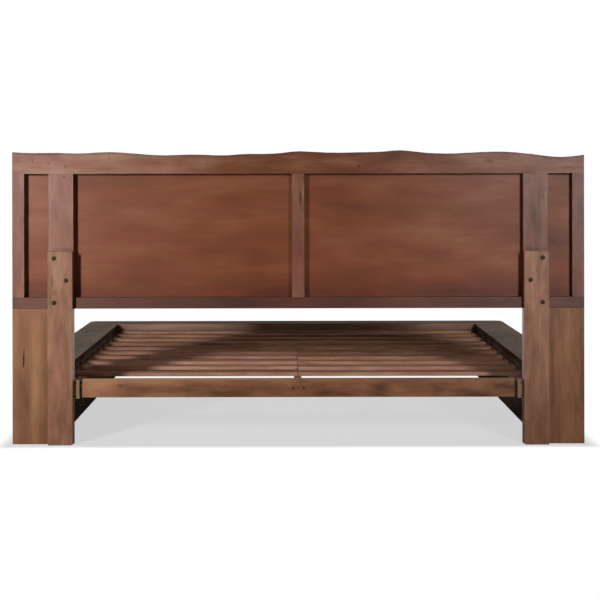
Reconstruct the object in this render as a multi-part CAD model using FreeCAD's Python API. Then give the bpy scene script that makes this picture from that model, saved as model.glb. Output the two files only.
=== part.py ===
import FreeCAD, Part
import math
import os

os.makedirs("parts", exist_ok=True)
Vec = FreeCAD.Vector

# A king-size platform bed with a live-edge headboard. All sizes are in millimetres.
# X runs across the bed, Y from the head to the foot, Z up from the floor.
# Left and right are as seen from behind the headboard: right is +X.

# Sizes of the whole bed
overall_width = 2300.0
overall_length = 2367.0
overall_height = 1180.0

# Legs: wide leg boards that carry the headboard, and posts bolted behind them
leg_board_width = 246.0
leg_board_height = 545.0
leg_board_thickness = 30.0
post_width = 100.0
post_height = 775.0
post_thickness = 27.0

# Headboard frame
frame_thickness = 33.0
top_rail_height = 93.0
bottom_rail_height = 45.0
outer_stile_width = 48.0
centre_stile_width = 50.0
tenon_length = 10.0
tenon_shoulder = 7.0
tenon_thickness_share = 1.0 / 3.0

# Planks that close the headboard from the front
plank_thickness = 24.0
plank_height = 155.0
top_plank_least_share = 0.5
tongue_height = 8.0
tongue_thickness_share = 1.0 / 3.0
plank_bevel = 2.5

# Live edge: how far it falls below the highest point, and how far the bark side leans
live_edge_fall = 28.0
bark_lean = 15.0
bark_round = 5.0
bark_round_share = 0.35

# Height of the live edge along the headboard: place as a share of the half width from the
# middle, and fall as a share of the live edge fall
live_edge_shares = [
    (-1.000, 0.17), (-0.910, 0.32), (-0.820, 0.32), (-0.770, 0.39), (-0.690, 0.22),
    (-0.620, 0.26), (-0.550, 0.48), (-0.475, 0.67), (-0.380, 0.56), (-0.240, 0.66),
    (-0.195, 0.51), (-0.120, 0.50), (-0.060, 0.36), (-0.010, 0.14), (0.060, 0.23),
    (0.260, 0.25), (0.300, 0.17), (0.345, 0.00), (0.385, 0.08), (0.430, 0.29),
    (0.520, 0.49), (0.600, 0.36), (0.680, 0.22), (0.770, 0.37), (0.830, 0.65),
    (0.910, 0.99), (0.950, 0.93), (1.000, 0.68),
]

# Box rails of the platform: caps on hollow boxes of boards
box_width = 170.0
box_height = 276.0
cap_thickness = 27.0
outer_board_thickness = 24.0
inner_board_thickness = 20.0
corner_radius = 45.0
rib_thickness = 20.0
rib_floor_gap = 12.0
side_rib_count = 3
foot_rib_count = 4
end_block_thickness = 24.0
spline_thickness = 6.0
spline_width = 40.0
spline_stop = 18.0

# Slatted deck
recess_depth = 34.0
slat_thickness = 16.0
slat_width = 70.0
slat_pitch = 193.6
slat_end_gap = 23.0
slat_centre_gap = 2.0
head_slat_gap = 50.0
left_slat_drift = 18.0
drifted_left_slats = (3, 5)
ledger_width = 45.0
ledger_height = 40.0

# Stretcher between the legs, hung on hook plates
stretcher_height = 74.0
stretcher_thickness = 27.0
stretcher_drop = 14.0
bracket_width = 20.0
bracket_drop = 4.0
plate_thickness = 3.0
plate_gap = 9.0
plate_inset = 3.0
hook_thickness = 3.0
hook_height = 13.0
hook_lip = 8.0
hook_nose = 5.0
hook_round = 4.0
hook_place_shares = (0.30, 0.72)
flange_thickness = 2.0

# Centre beam, its cradles and its leg
beam_width = 28.0
cradle_ear = 14.0
cradle_depth = 40.0
cradle_floor = 14.0
leg_place_share = 0.60
centre_leg_width = 30.0
centre_tenon_radius = 8.0
centre_tenon_length = 20.0
glide_radius = 13.0
glide_height = 6.0
glide_sides = 16

# Fasteners. Shanks, sleeves, dowels and their holes are hidden, so they have few flat sides.
hidden_sides = 8
bolt_radius = 4.0
bolt_head_radius = 9.0
bolt_head_height = 5.0
bolt_dome_shares = ((1.0, 0.0), (1.0, 0.34), (0.84, 0.78), (0.5, 1.0))
bolt_socket_width = 5.0
bolt_socket_depth_share = 0.6
hexagon_head_width = 13.0
bolt_inset = 26.0
bolt_tip_gap = 3.0
insert_radius = 6.5
insert_length = 17.0
bed_bolt_place_shares = (0.24, 0.76)
screw_radius = 2.25
screw_head_radius = 4.8
screw_length = 52.0
screw_recess = 1.5
small_screw_radius = 1.6
small_screw_head_radius = 3.4
small_screw_length = 16.0
small_screw_place_shares = (0.14, 0.84)
leg_screw_place_shares = (0.14, 0.38, 0.62, 0.86)
leg_screw_stagger_share = 0.22
ledger_screw_count = 4
dowel_radius = 5.0
dowel_length = 56.0
dowel_place_shares = (0.45, 0.86)

# Fits and softened edges
fit_gap = 0.3
hole_gap = 0.15
soft_edge = 2.0
fine_edge = 1.2
cap_edge = 3.5
overrun = 5.0

# Planes that the pieces share
half_width = overall_width / 2
recess_x = half_width - box_width
leg_inner_x = half_width - leg_board_width
post_outer_x = leg_inner_x + post_width
back_y = -overall_length / 2 + bolt_head_height
head_y = back_y + post_thickness
leg_front_y = head_y + leg_board_thickness
plank_back_y = head_y + frame_thickness
plank_front_y = plank_back_y + plank_thickness
foot_y = overall_length / 2
foot_inner_y = foot_y - box_width
top_rail_z = overall_height - top_rail_height
stile_foot_z = leg_board_height + bottom_rail_height
cap_z = box_height - cap_thickness
slat_top_z = box_height - recess_depth
ledger_z = slat_top_z - slat_thickness
stretcher_top_z = box_height - stretcher_drop
stretcher_z = stretcher_top_z - stretcher_height
stretcher_front_y = head_y + stretcher_thickness
bracket_x = leg_inner_x - bracket_width
slot_plate_x = bracket_x - plate_thickness
stretcher_end_x = slot_plate_x - plate_gap - plate_thickness
beam_z = stretcher_z


def block(x_span, y_span, z_span):
    """A box between its low and high value along each axis."""
    corner = Vec(x_span[0], y_span[0], z_span[0])
    sizes = [span[1] - span[0] for span in (x_span, y_span, z_span)]
    return Part.makeBox(sizes[0], sizes[1], sizes[2], corner)


def centred(middle, size):
    """The span of a size about its middle."""
    return (middle - size / 2, middle + size / 2)


def mirrored(shape):
    return shape.mirror(Vec(0, 0, 0), Vec(1, 0, 0))


def runs_along(edge, axis):
    """True for a straight edge that runs along one of the axes 0, 1 and 2."""
    if not isinstance(edge.Curve, Part.Line):
        return False
    start, end = edge.Vertexes[0].Point, edge.Vertexes[-1].Point
    return all(abs(end[other] - start[other]) < hole_gap for other in range(3) if other != axis)


def lies_at(edge, axis, place):
    """True for an edge whose whole length lies at one place along an axis."""
    return all(abs(vertex.Point[axis] - place) < hole_gap for vertex in edge.Vertexes)


def soften(shape, radius, picks):
    """Rounds the straight edges that any of the picks (edge axis, plane axis, plane place) name."""
    edges = []
    for edge in shape.Edges:
        if any(runs_along(edge, along) and lies_at(edge, axis, place) for along, axis, place in picks):
            edges.append(edge)
    return shape.makeFillet(radius, edges)


def prism(points, direction):
    """A flat outline of points pushed along a direction."""
    return Part.Face(Part.makePolygon(points + points[:1])).extrude(direction)


def join(shapes):
    """Separate solids kept apart in one node."""
    return Part.makeCompound(shapes)


def cut_all(shape, tools):
    for tool in tools:
        if shape.BoundBox.intersect(tool.BoundBox):
            shape = shape.cut(tool)
    return shape


def save(name, shape):
    """Writes a node. A shape that a cut wrapped in a compound is unwrapped if it is one solid."""
    if shape.ShapeType != "Solid" and len(shape.Solids) == 1:
        shape = shape.Solids[0]
    shape.exportStep("parts/" + name + ".step")
    print(name, "solids", len(shape.Solids), "valid", shape.isValid())


def save_pair(name, right_shape):
    """Writes a right piece and its mirrored left one."""
    save(name + "_right", right_shape)
    save(name + "_left", mirrored(right_shape))


# Fasteners


def ring(radius, along, sides):
    """The corners of a regular polygon round the Z axis that stands for a circle."""
    angles = [2 * math.pi * (step + 0.5) / sides for step in range(sides)]
    return [Vec(radius * math.cos(angle), radius * math.sin(angle), along) for angle in angles]


def flat_face(points):
    return Part.Face(Part.makePolygon(points + points[:1]))


def faceted(profile, place, direction, sides=hidden_sides):
    """A body of few flat faces from its (radius, distance along the direction) steps."""
    rings = [ring(radius, along, sides) for radius, along in profile]
    faces = [flat_face(rings[0]), flat_face(rings[-1])]
    for low, high in zip(rings[:-1], rings[1:]):
        for number in range(sides):
            corners = [low[number - 1], low[number], high[number], high[number - 1]]
            faces.append(flat_face(corners))
    body = Part.Solid(Part.Shell(faces))
    if body.Volume < 0:
        body.reverse()
    body.Placement = FreeCAD.Placement(place, FreeCAD.Rotation(Vec(0, 0, 1), direction))
    return body


def rod(radius, length, place, direction):
    return faceted([(radius, 0), (radius, length)], place, direction)


def hexagon(width, low, high):
    """A hexagonal bar on the Z axis, with a width across its flats."""
    radius = width / math.sqrt(3)
    return faceted([(radius, low), (radius, high)], Vec(0, 0, 0), Vec(0, 0, 1), 6)


def button_head():
    """The domed head of a post bolt with its hexagon socket, from its seat at the origin."""
    outline = [Vec(0, 0, 0)]
    for radius_share, height_share in bolt_dome_shares:
        outline.append(Vec(bolt_head_radius * radius_share, 0, -bolt_head_height * height_share))
    outline.append(Vec(0, 0, -bolt_head_height))
    head = flat_face(outline).revolve(Vec(0, 0, 0), Vec(0, 0, 1), 360)
    socket_floor = bolt_head_height * (bolt_socket_depth_share - 1)
    return head.cut(hexagon(bolt_socket_width, -bolt_head_height - overrun, socket_floor))


def bolt(head, place, direction, length):
    """A bolt under a given head: place is under the head, direction points along the shank."""
    body = head.fuse(rod(bolt_radius, length, Vec(0, 0, 0), Vec(0, 0, 1)))
    body.Placement = FreeCAD.Placement(place, FreeCAD.Rotation(Vec(0, 0, 1), direction))
    return body


def threaded_insert(mouth, direction):
    """A sleeve let into wood at a mouth, running in the direction given."""
    sleeve = rod(insert_radius, insert_length, mouth, direction)
    return sleeve.cut(rod(bolt_radius + hole_gap, insert_length, mouth, direction))


def wood_screw(place, direction, radius, head_radius, length):
    """A countersunk screw: place is the middle of its head's flat face."""
    profile = [(head_radius, 0), (radius, head_radius - radius), (radius, length)]
    return faceted(profile, place, direction)


def screw_hole(place, direction, radius, head_radius, length, recess):
    """The hole of a screw whose head is sunk by the recess below the face."""
    mouth = place - direction * recess
    head, shank = head_radius + hole_gap, radius + hole_gap
    cone_foot = recess + head - shank
    profile = [(head, 0), (head, recess), (shank, cone_foot), (shank, recess + length)]
    return faceted(profile, mouth, direction)


def post_bolt_places():
    """The three bolts of the right post, from top to bottom, in a zigzag."""
    outer_x = post_outer_x - bolt_inset
    inner_x = leg_inner_x + bolt_inset
    top_z = post_height - bolt_inset
    low_z = leg_board_height + bolt_inset
    return [(outer_x, top_z), (inner_x, (top_z + low_z) / 2), (outer_x, low_z)]


bolt_hole_radius = bolt_radius + 2 * hole_gap
post_bolt_length = post_thickness + frame_thickness - bolt_tip_gap
post_bolt_tools = []
post_bolts = []
bolt_inserts = []
for bolt_x, bolt_z in post_bolt_places():
    under_head = Vec(bolt_x, back_y, bolt_z)
    mouth = Vec(bolt_x, plank_back_y, bolt_z)
    post_bolts.append(bolt(button_head(), under_head, Vec(0, 1, 0), post_bolt_length))
    hole_length = post_bolt_length + bolt_tip_gap
    post_bolt_tools.append(rod(bolt_hole_radius, hole_length, under_head, Vec(0, 1, 0)))
    post_bolt_tools.append(rod(insert_radius, insert_length, mouth, Vec(0, -1, 0)))
    bolt_inserts.append(threaded_insert(mouth, Vec(0, -1, 0)))

bed_bolt_length = end_block_thickness + leg_board_thickness - 2 * bolt_tip_gap
end_block_x = (recess_x + inner_board_thickness, half_width - outer_board_thickness)
bed_bolt_tools = []
bed_bolts = []
for share in bed_bolt_place_shares:
    bolt_x = sum(end_block_x) / 2
    bolt_z = cap_z * share
    under_head = Vec(bolt_x, leg_front_y + end_block_thickness, bolt_z)
    mouth = Vec(bolt_x, leg_front_y, bolt_z)
    hexagon_head = hexagon(hexagon_head_width, -bolt_head_height, 0)
    bed_bolts.append(bolt(hexagon_head, under_head, Vec(0, -1, 0), bed_bolt_length))
    hole_length = bed_bolt_length + hole_gap
    bed_bolt_tools.append(rod(bolt_hole_radius, hole_length, under_head, Vec(0, -1, 0)))
    bed_bolt_tools.append(rod(insert_radius, insert_length, mouth, Vec(0, -1, 0)))
    bolt_inserts.append(threaded_insert(mouth, Vec(0, -1, 0)))

frame_screws = []
frame_screw_tools = []


def drive_screw(place, direction):
    """Adds a long wood screw and its hole; place is on the face that it enters."""
    head = place + direction * screw_recess
    frame_screws.append(wood_screw(head, direction, screw_radius, screw_head_radius, screw_length))
    frame_screw_tools.append(screw_hole(head, direction, screw_radius, screw_head_radius,
                                        screw_length, screw_recess))


# Screws that hold each leg board to its post, from the front
for number, share in enumerate(leg_screw_place_shares):
    stagger = post_width * leg_screw_stagger_share * (1 if number % 2 else -1)
    screw_x = leg_inner_x + post_width / 2 + stagger
    for side in (1, -1):
        drive_screw(Vec(side * screw_x, leg_front_y, leg_board_height * share), Vec(0, -1, 0))

# Screws that hold the ledgers to the side boxes
ledger_length = foot_inner_y - leg_front_y
for number in range(ledger_screw_count):
    screw_y = leg_front_y + ledger_length * (number + 0.5) / ledger_screw_count
    screw_z = ledger_z - ledger_height / 2
    for side in (1, -1):
        place = Vec(side * (recess_x - ledger_width), screw_y, screw_z)
        drive_screw(place, Vec(side, 0, 0))

# Screws that hold the two cradles of the centre beam
ear_x = beam_width / 2 + fit_gap + cradle_ear / 2
for side in (1, -1):
    drive_screw(Vec(side * ear_x, head_y, stretcher_z + stretcher_height / 2), Vec(0, 1, 0))
    drive_screw(Vec(side * ear_x, foot_inner_y - cradle_depth, (beam_z + ledger_z) / 2), Vec(0, 1, 0))

# Dowels that stand the headboard on the leg boards
dowels = []
dowel_tools = []
for share in dowel_place_shares:
    dowel_x = leg_inner_x + leg_board_width * share
    dowel_y = head_y + leg_board_thickness / 2
    for side in (1, -1):
        foot = Vec(side * dowel_x, dowel_y, leg_board_height - dowel_length / 2)
        up = Vec(0, 0, 1)
        dowels.append(rod(dowel_radius, dowel_length, foot, up))
        hole_length = dowel_length + 2 * fit_gap
        dowel_tools.append(rod(dowel_radius + hole_gap, hole_length, foot - up * fit_gap, up))


# Headboard


def stile_centres():
    """The middle and width of each stile, from the centre to the right."""
    return [
        ("headboard_centre_stile", 0, centre_stile_width),
        ("headboard_inner_stile", leg_inner_x + post_width / 2, post_width),
        ("headboard_outer_stile", half_width - outer_stile_width / 2, outer_stile_width),
    ]


def tenon(middle_x, width, gap):
    """The stub tenons at both ends of a stile as one bar, grown by a gap for their mortises."""
    thickness = frame_thickness * tenon_thickness_share + 2 * gap
    reach = tenon_length + gap
    return block(
        centred(middle_x, width - 2 * tenon_shoulder + 2 * gap),
        centred(head_y + frame_thickness / 2, thickness),
        (stile_foot_z - reach, top_rail_z + reach),
    )


def stile(middle_x, width):
    body = block(centred(middle_x, width), (head_y, plank_back_y), (stile_foot_z, top_rail_z))
    picks = [(2, 1, head_y)]
    body = soften(body, fine_edge, picks)
    return cut_all(body.fuse(tenon(middle_x, width, 0)), post_bolt_tools)


def mortises():
    tools = []
    for _, middle_x, width in stile_centres():
        tools.append(tenon(middle_x, width, fit_gap))
        if middle_x:
            tools.append(tenon(-middle_x, width, fit_gap))
    return tools


def live_edge_curve(y, fall):
    """The natural top edge as one curve at a depth, lowered by a fall."""
    curve = Part.BSplineCurve()
    points = []
    for place_share, fall_share in live_edge_shares:
        z = overall_height - fall_share * live_edge_fall - fall
        points.append(Vec(place_share * half_width, y, z))
    curve.interpolate(points)
    return curve


def live_board_outline(y, low_z, fall):
    """The outline of a board with the live edge on top, at one depth."""
    curve = live_edge_curve(y, fall)
    left_top, right_top = curve.StartPoint, curve.EndPoint
    left_foot = Vec(-half_width, y, low_z)
    right_foot = Vec(half_width, y, low_z)
    return Part.Wire([
        curve.toShape(),
        Part.LineSegment(right_top, right_foot).toShape(),
        Part.LineSegment(right_foot, left_foot).toShape(),
        Part.LineSegment(left_foot, left_top).toShape(),
    ])


def top_rail():
    """The frame's top rail: its live edge is eased towards the back."""
    sections = [
        live_board_outline(head_y, top_rail_z, soft_edge),
        live_board_outline(head_y + soft_edge, top_rail_z, 0),
        live_board_outline(plank_back_y, top_rail_z, 0),
    ]
    return cut_all(Part.makeLoft(sections, True, True), mortises())


def bottom_rail():
    body = block((-half_width, half_width), (head_y, plank_back_y), (leg_board_height, stile_foot_z))
    tools = mortises() + dowel_tools + post_bolt_tools
    tools += [mirrored(tool) for tool in post_bolt_tools]
    return cut_all(body, tools)


def plank_spans():
    """The height span of each plank, from the bottom up; the last one carries the live edge."""
    spans = []
    low = leg_board_height
    lowest_top = overall_height - live_edge_fall - bark_lean
    while low + plank_height * (1 + top_plank_least_share) < lowest_top:
        spans.append((low, low + plank_height))
        low += plank_height
    spans.append((low, lowest_top))
    return spans


def tongue(z, gap):
    """The tongue on the top edge of a plank, grown by a gap for the groove above it."""
    thickness = plank_thickness * tongue_thickness_share + 2 * gap
    middle_y = plank_back_y + plank_thickness / 2
    return block((-half_width, half_width), centred(middle_y, thickness), (z, z + tongue_height + gap))


def front_bevel(z):
    """A bar that takes the front corners of the planks off on both sides of a joint."""
    reach = plank_bevel
    points = [
        Vec(-half_width - overrun, plank_front_y - reach, z),
        Vec(-half_width - overrun, plank_front_y + overrun, z - reach - overrun),
        Vec(-half_width - overrun, plank_front_y + overrun, z + reach + overrun),
    ]
    return prism(points, Vec(overall_width + 2 * overrun, 0, 0))


def live_plank(low_z):
    """The top plank: its live edge leans forward and down, as under bark."""
    middle_y = plank_back_y + plank_thickness * (1 - bark_round_share)
    sections = [
        live_board_outline(plank_back_y, low_z, 0),
        live_board_outline(middle_y, low_z, bark_round),
        live_board_outline(plank_front_y, low_z, bark_lean),
    ]
    return Part.makeLoft(sections, True, True)


def planks():
    """All planks, bottom first: tongue up, groove down, bevelled at the joints in front."""
    spans = plank_spans()
    bodies = []
    for number, (low, high) in enumerate(spans):
        top_one = number == len(spans) - 1
        if top_one:
            body = live_plank(low)
        else:
            body = block((-half_width, half_width), (plank_back_y, plank_front_y), (low, high))
            body = body.fuse(tongue(high, 0)).removeSplitter()
            body = body.cut(front_bevel(high))
        if number:
            body = body.cut(tongue(low, fit_gap))
            body = body.cut(front_bevel(low))
        bodies.append(body)
    return bodies


save("headboard_top_rail", top_rail())
save("headboard_bottom_rail", bottom_rail())
for name, middle_x, width in stile_centres():
    if middle_x:
        save_pair(name, stile(middle_x, width))
    else:
        save(name, stile(middle_x, width))
for number, body in enumerate(planks(), 1):
    save("headboard_plank_" + str(number), body)
save("headboard_dowels", join(dowels))


# Legs and posts


def leg_board():
    body = block((leg_inner_x, half_width), (head_y, leg_front_y), (0, leg_board_height))
    body = soften(body, soft_edge, [(2, 0, half_width)])
    return cut_all(body, dowel_tools + bed_bolt_tools + frame_screw_tools)


def post():
    body = block((leg_inner_x, post_outer_x), (back_y, head_y), (0, post_height))
    body = soften(body, soft_edge, [(2, 1, back_y), (0, 1, back_y)])
    return cut_all(body, post_bolt_tools + frame_screw_tools)


def both_sides(shapes):
    return shapes + [mirrored(shape) for shape in shapes]


save_pair("leg_board", leg_board())
save_pair("post", post())
save("post_bolts", join(both_sides(post_bolts)))
save("bed_bolts", join(both_sides(bed_bolts)))
save("bolt_inserts", join(both_sides(bolt_inserts)))
save("frame_screws", join(frame_screws))


# Stretcher, brackets and hook plates

bracket_z = stretcher_z - bracket_drop
bracket_top_z = stretcher_top_z - bracket_drop
hook_x = stretcher_end_x + plate_thickness
hook_middle_y = head_y + stretcher_thickness / 2


def hook_feet():
    """The height at which each hook bears on its slot, from the bottom up."""
    return [bracket_z + stretcher_height * share for share in hook_place_shares]


def hook(foot_z):
    """One hook seen from behind: a tongue through the slot with a lip behind the plate."""
    lip_x = bracket_x + hole_gap
    nose_x = lip_x + hook_nose
    top_z = foot_z + hook_height
    round_start = Vec(nose_x - hook_round, 0, top_z)
    round_end = Vec(nose_x, 0, top_z - hook_round)
    inset = hook_round * (1 - math.sqrt(0.5))
    round_middle = Vec(nose_x - inset, 0, top_z - inset)
    corners = [
        round_end, Vec(nose_x, 0, foot_z - hook_lip), Vec(lip_x, 0, foot_z - hook_lip),
        Vec(lip_x, 0, foot_z), Vec(hook_x, 0, foot_z), Vec(hook_x, 0, top_z), round_start,
    ]
    edges = [Part.Arc(round_start, round_middle, round_end).toShape()]
    for start, end in zip(corners[:-1], corners[1:]):
        edges.append(Part.LineSegment(start, end).toShape())
    body = Part.Face(Part.Wire(edges)).extrude(Vec(0, hook_thickness, 0))
    body.translate(Vec(0, hook_middle_y - hook_thickness / 2, 0))
    return body


def slot(foot_z, x_span):
    """The space that a hook needs to be lifted in and dropped, through a span of X."""
    height = hook_height + hook_lip + fit_gap
    return block(x_span, centred(hook_middle_y, hook_thickness + 2 * fit_gap), (foot_z, foot_z + height))


def hook_plate():
    y_span = (head_y + plate_inset, head_y + stretcher_thickness - plate_inset)
    z_span = (stretcher_z + plate_inset, stretcher_top_z - plate_inset)
    body = block((stretcher_end_x, hook_x), y_span, z_span)
    for foot_z in hook_feet():
        body = body.fuse(hook(foot_z))
    return body.removeSplitter()


def slot_plate():
    """A bent plate: one leg faces the stretcher, the other covers the bracket's back."""
    z_span = (bracket_z, bracket_top_z)
    front_y = leg_front_y - plate_inset
    body = block((slot_plate_x, bracket_x), (head_y - flange_thickness, front_y), z_span)
    flange = block((slot_plate_x, leg_inner_x), (head_y - flange_thickness, head_y), z_span)
    body = body.fuse(flange).removeSplitter()
    for foot_z in hook_feet():
        body = body.cut(slot(foot_z, (slot_plate_x - overrun, bracket_x)))
    return cut_all(body, plate_screw_tools)


def bracket_block():
    """The block on the leg's edge, with pockets behind the slots."""
    body = block((bracket_x, leg_inner_x), (head_y, leg_front_y), (bracket_z, bracket_top_z))
    for foot_z in hook_feet():
        pocket_x = (bracket_x, bracket_x + hook_nose + 2 * fit_gap)
        body = body.cut(slot(foot_z, pocket_x))
        body = body.cut(slot(foot_z - hook_lip - fit_gap, pocket_x))
    return cut_all(body, plate_screw_tools)


plate_screws = []
plate_screw_tools = []
for share in small_screw_place_shares:
    plate_screw_z = bracket_z + stretcher_height * share
    head = Vec(bracket_x + bracket_width / 2, head_y - flange_thickness, plate_screw_z)
    sizes = (small_screw_radius, small_screw_head_radius, small_screw_length)
    plate_screws.append(wood_screw(head, Vec(0, 1, 0), *sizes))
    plate_screw_tools.append(screw_hole(head, Vec(0, 1, 0), *sizes, 0))


def stretcher():
    body = block(
        (-stretcher_end_x, stretcher_end_x),
        (head_y, head_y + stretcher_thickness),
        (stretcher_z, stretcher_top_z),
    )
    body = soften(body, soft_edge, [(0, 1, head_y), (0, 2, stretcher_top_z)])
    return cut_all(body, frame_screw_tools)


save("stretcher", stretcher())
save_pair("bracket_block", bracket_block())
save("leg_slot_plates", join(both_sides([slot_plate()])))
save("stretcher_hook_plates", join(both_sides([hook_plate()])))
save("plate_screws", join(both_sides(plate_screws)))


# Box rails of the platform

corner_x = half_width - corner_radius
corner_y = foot_y - corner_radius
corner_reach = corner_radius * math.sqrt(0.5)
corner_middle = Vec(corner_x + corner_reach, corner_y + corner_reach, 0)


def corner_arc(start_angle, end_angle):
    """A stretch of the rounded outer corner on the right, between two angles in degrees."""
    points = []
    for angle in (start_angle, (start_angle + end_angle) / 2, end_angle):
        turn = math.radians(angle)
        points.append(Vec(corner_x + corner_radius * math.cos(turn),
                          corner_y + corner_radius * math.sin(turn), 0))
    return Part.Arc(*points).toShape()


def mirrored_edges(edges):
    return [mirrored(edge) for edge in edges]


def raise_outline(edges, low_z, height):
    body = Part.Face(Part.Wire(Part.__sortEdges__(edges))).extrude(Vec(0, 0, height))
    body.translate(Vec(0, 0, low_z))
    return body


def ease_cap(body, inner_axis, inner_place):
    """Rounds the cap's top edges, except where it meets its neighbours."""
    edges = []
    for edge in body.Edges:
        if not lies_at(edge, 2, box_height):
            continue
        curved = isinstance(edge.Curve, Part.Circle)
        outer = lies_at(edge, 0, half_width) or lies_at(edge, 1, foot_y)
        if curved or outer or lies_at(edge, inner_axis, inner_place):
            edges.append(edge)
    return body.makeFillet(cap_edge, edges)


def spline_bar(gap):
    """The loose tongue across the right mitre, grown by a gap for its slot."""
    inner = Vec(recess_x, foot_inner_y, 0)
    length = (corner_middle - inner).Length - 2 * spline_stop + 2 * gap
    size_y = spline_width + 2 * gap
    size_z = spline_thickness + 2 * gap
    body = Part.makeBox(length, size_y, size_z, Vec(spline_stop - gap, -size_y / 2, -size_z / 2))
    body.rotate(Vec(0, 0, 0), Vec(0, 0, 1), 45)
    body.translate(inner + Vec(0, 0, cap_z + cap_thickness / 2))
    return body


def side_cap():
    inner_head = Vec(recess_x, leg_front_y, 0)
    outer_head = Vec(half_width, leg_front_y, 0)
    outer_foot = Vec(half_width, corner_y, 0)
    inner_foot = Vec(recess_x, foot_inner_y, 0)
    edges = [
        Part.LineSegment(inner_head, outer_head).toShape(),
        Part.LineSegment(outer_head, outer_foot).toShape(),
        corner_arc(0, 45),
        Part.LineSegment(corner_middle, inner_foot).toShape(),
        Part.LineSegment(inner_foot, inner_head).toShape(),
    ]
    body = raise_outline(edges, cap_z, cap_thickness)
    return ease_cap(body, 0, recess_x).cut(spline_bar(hole_gap))


def foot_cap():
    inner_corner = Vec(recess_x, foot_inner_y, 0)
    outer_corner = Vec(corner_x, foot_y, 0)
    half = [
        Part.LineSegment(inner_corner, corner_middle).toShape(),
        corner_arc(45, 90),
    ]
    edges = half + mirrored_edges(half) + [
        Part.LineSegment(outer_corner, Vec(-corner_x, foot_y, 0)).toShape(),
        Part.LineSegment(Vec(-recess_x, foot_inner_y, 0), inner_corner).toShape(),
    ]
    body = ease_cap(raise_outline(edges, cap_z, cap_thickness), 1, foot_inner_y)
    return body.cut(spline_bar(hole_gap)).cut(mirrored(spline_bar(hole_gap)))


def corner_post():
    """The quarter-round post between the side and foot outer boards."""
    centre = Vec(corner_x, corner_y, 0)
    edges = [
        Part.LineSegment(centre, Vec(half_width, corner_y, 0)).toShape(),
        corner_arc(0, 90),
        Part.LineSegment(Vec(corner_x, foot_y, 0), centre).toShape(),
    ]
    return raise_outline(edges, 0, cap_z)


def side_outer_board():
    return block((half_width - outer_board_thickness, half_width), (leg_front_y, corner_y), (0, cap_z))


def foot_outer_board():
    return block((-corner_x, corner_x), (foot_y - outer_board_thickness, foot_y), (0, cap_z))


def side_inner_board():
    body = block((recess_x, recess_x + inner_board_thickness), (leg_front_y, foot_inner_y), (0, cap_z))
    return cut_all(body, frame_screw_tools)


def foot_inner_board():
    half = recess_x + inner_board_thickness
    body = block((-half, half), (foot_inner_y, foot_inner_y + inner_board_thickness), (0, cap_z))
    return cut_all(body, frame_screw_tools)


def end_block():
    """Closes the head end of a side box and takes the bolts to the leg board."""
    body = block(end_block_x, (leg_front_y, leg_front_y + end_block_thickness), (0, cap_z))
    return cut_all(body, bed_bolt_tools)


def box_ribs():
    """Cross boards that keep the inner and outer boards apart and carry the caps."""
    z_span = (rib_floor_gap, cap_z)
    ribs = []
    start = leg_front_y + end_block_thickness
    for number in range(side_rib_count):
        place = start + (foot_inner_y - start) * (number + 1) / (side_rib_count + 1)
        ribs += both_sides([block(end_block_x, centred(place, rib_thickness), z_span)])
    y_span = (foot_inner_y + inner_board_thickness, foot_y - outer_board_thickness)
    for number in range(foot_rib_count):
        place = recess_x * (2 * number / (foot_rib_count - 1) - 1)
        ribs.append(block(centred(place, rib_thickness), y_span, z_span))
    return ribs


save_pair("side_cap", side_cap())
save("foot_cap", foot_cap())
save("mitre_splines", join(both_sides([spline_bar(0)])))
save_pair("corner_post", corner_post())
save_pair("side_outer_board", side_outer_board())
save("foot_outer_board", foot_outer_board())
save_pair("side_inner_board", side_inner_board())
save("foot_inner_board", foot_inner_board())
save_pair("end_block", end_block())
save("box_ribs", join(box_ribs()))


# Slatted deck


def ledger():
    body = block((recess_x - ledger_width, recess_x), (leg_front_y, foot_inner_y),
                 (ledger_z - ledger_height, ledger_z))
    body = soften(body, fine_edge, [(1, 0, recess_x - ledger_width)])
    return cut_all(body, frame_screw_tools)


def half_slat(near_y):
    """The right half of a slat, from the centre beam to the ledger."""
    x_span = (slat_centre_gap / 2, recess_x - slat_end_gap)
    body = block(x_span, (near_y, near_y + slat_width), (ledger_z, slat_top_z))
    top_edges = [edge for edge in body.Edges if runs_along(edge, 0) and lies_at(edge, 2, slat_top_z)]
    return body.makeChamfer(fine_edge, top_edges)


def slat_row(number, near_y):
    """The two halves of a slat. A few left ones lie a little nearer to the foot."""
    drift = left_slat_drift if number in drifted_left_slats else 0
    return [half_slat(near_y), mirrored(half_slat(near_y + drift))]


def slat_places():
    """The near edge of each slat: one close to the head, the rest at one pitch from the foot."""
    head_slat_y = leg_front_y + head_slat_gap
    places = []
    near_y = foot_inner_y - slat_width
    while near_y > head_slat_y + 2 * slat_width:
        places.append(near_y)
        near_y -= slat_pitch
    return [head_slat_y] + places[::-1]


def cradle(near_y, high_z):
    """A block with a slot, open at the top, that the notched end of the centre beam drops into."""
    half = beam_width / 2 + fit_gap + cradle_ear
    y_span = (near_y, near_y + cradle_depth)
    body = block((-half, half), y_span, (beam_z, high_z))
    slot_x = centred(0, beam_width + 2 * fit_gap)
    body = body.cut(block(slot_x, y_span, (beam_z + cradle_floor, high_z)))
    return cut_all(body, frame_screw_tools)


def centre_leg_y():
    return leg_front_y + ledger_length * leg_place_share


def centre_leg():
    width = centre_leg_width
    body = block(centred(0, width), centred(centre_leg_y(), width), (glide_height, beam_z))
    corner_edges = [edge for edge in body.Edges if runs_along(edge, 2)]
    body = body.makeChamfer(soft_edge, corner_edges)
    pin_foot = Vec(0, centre_leg_y(), beam_z)
    return body.fuse(rod(centre_tenon_radius, centre_tenon_length, pin_foot, Vec(0, 0, 1)))


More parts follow.
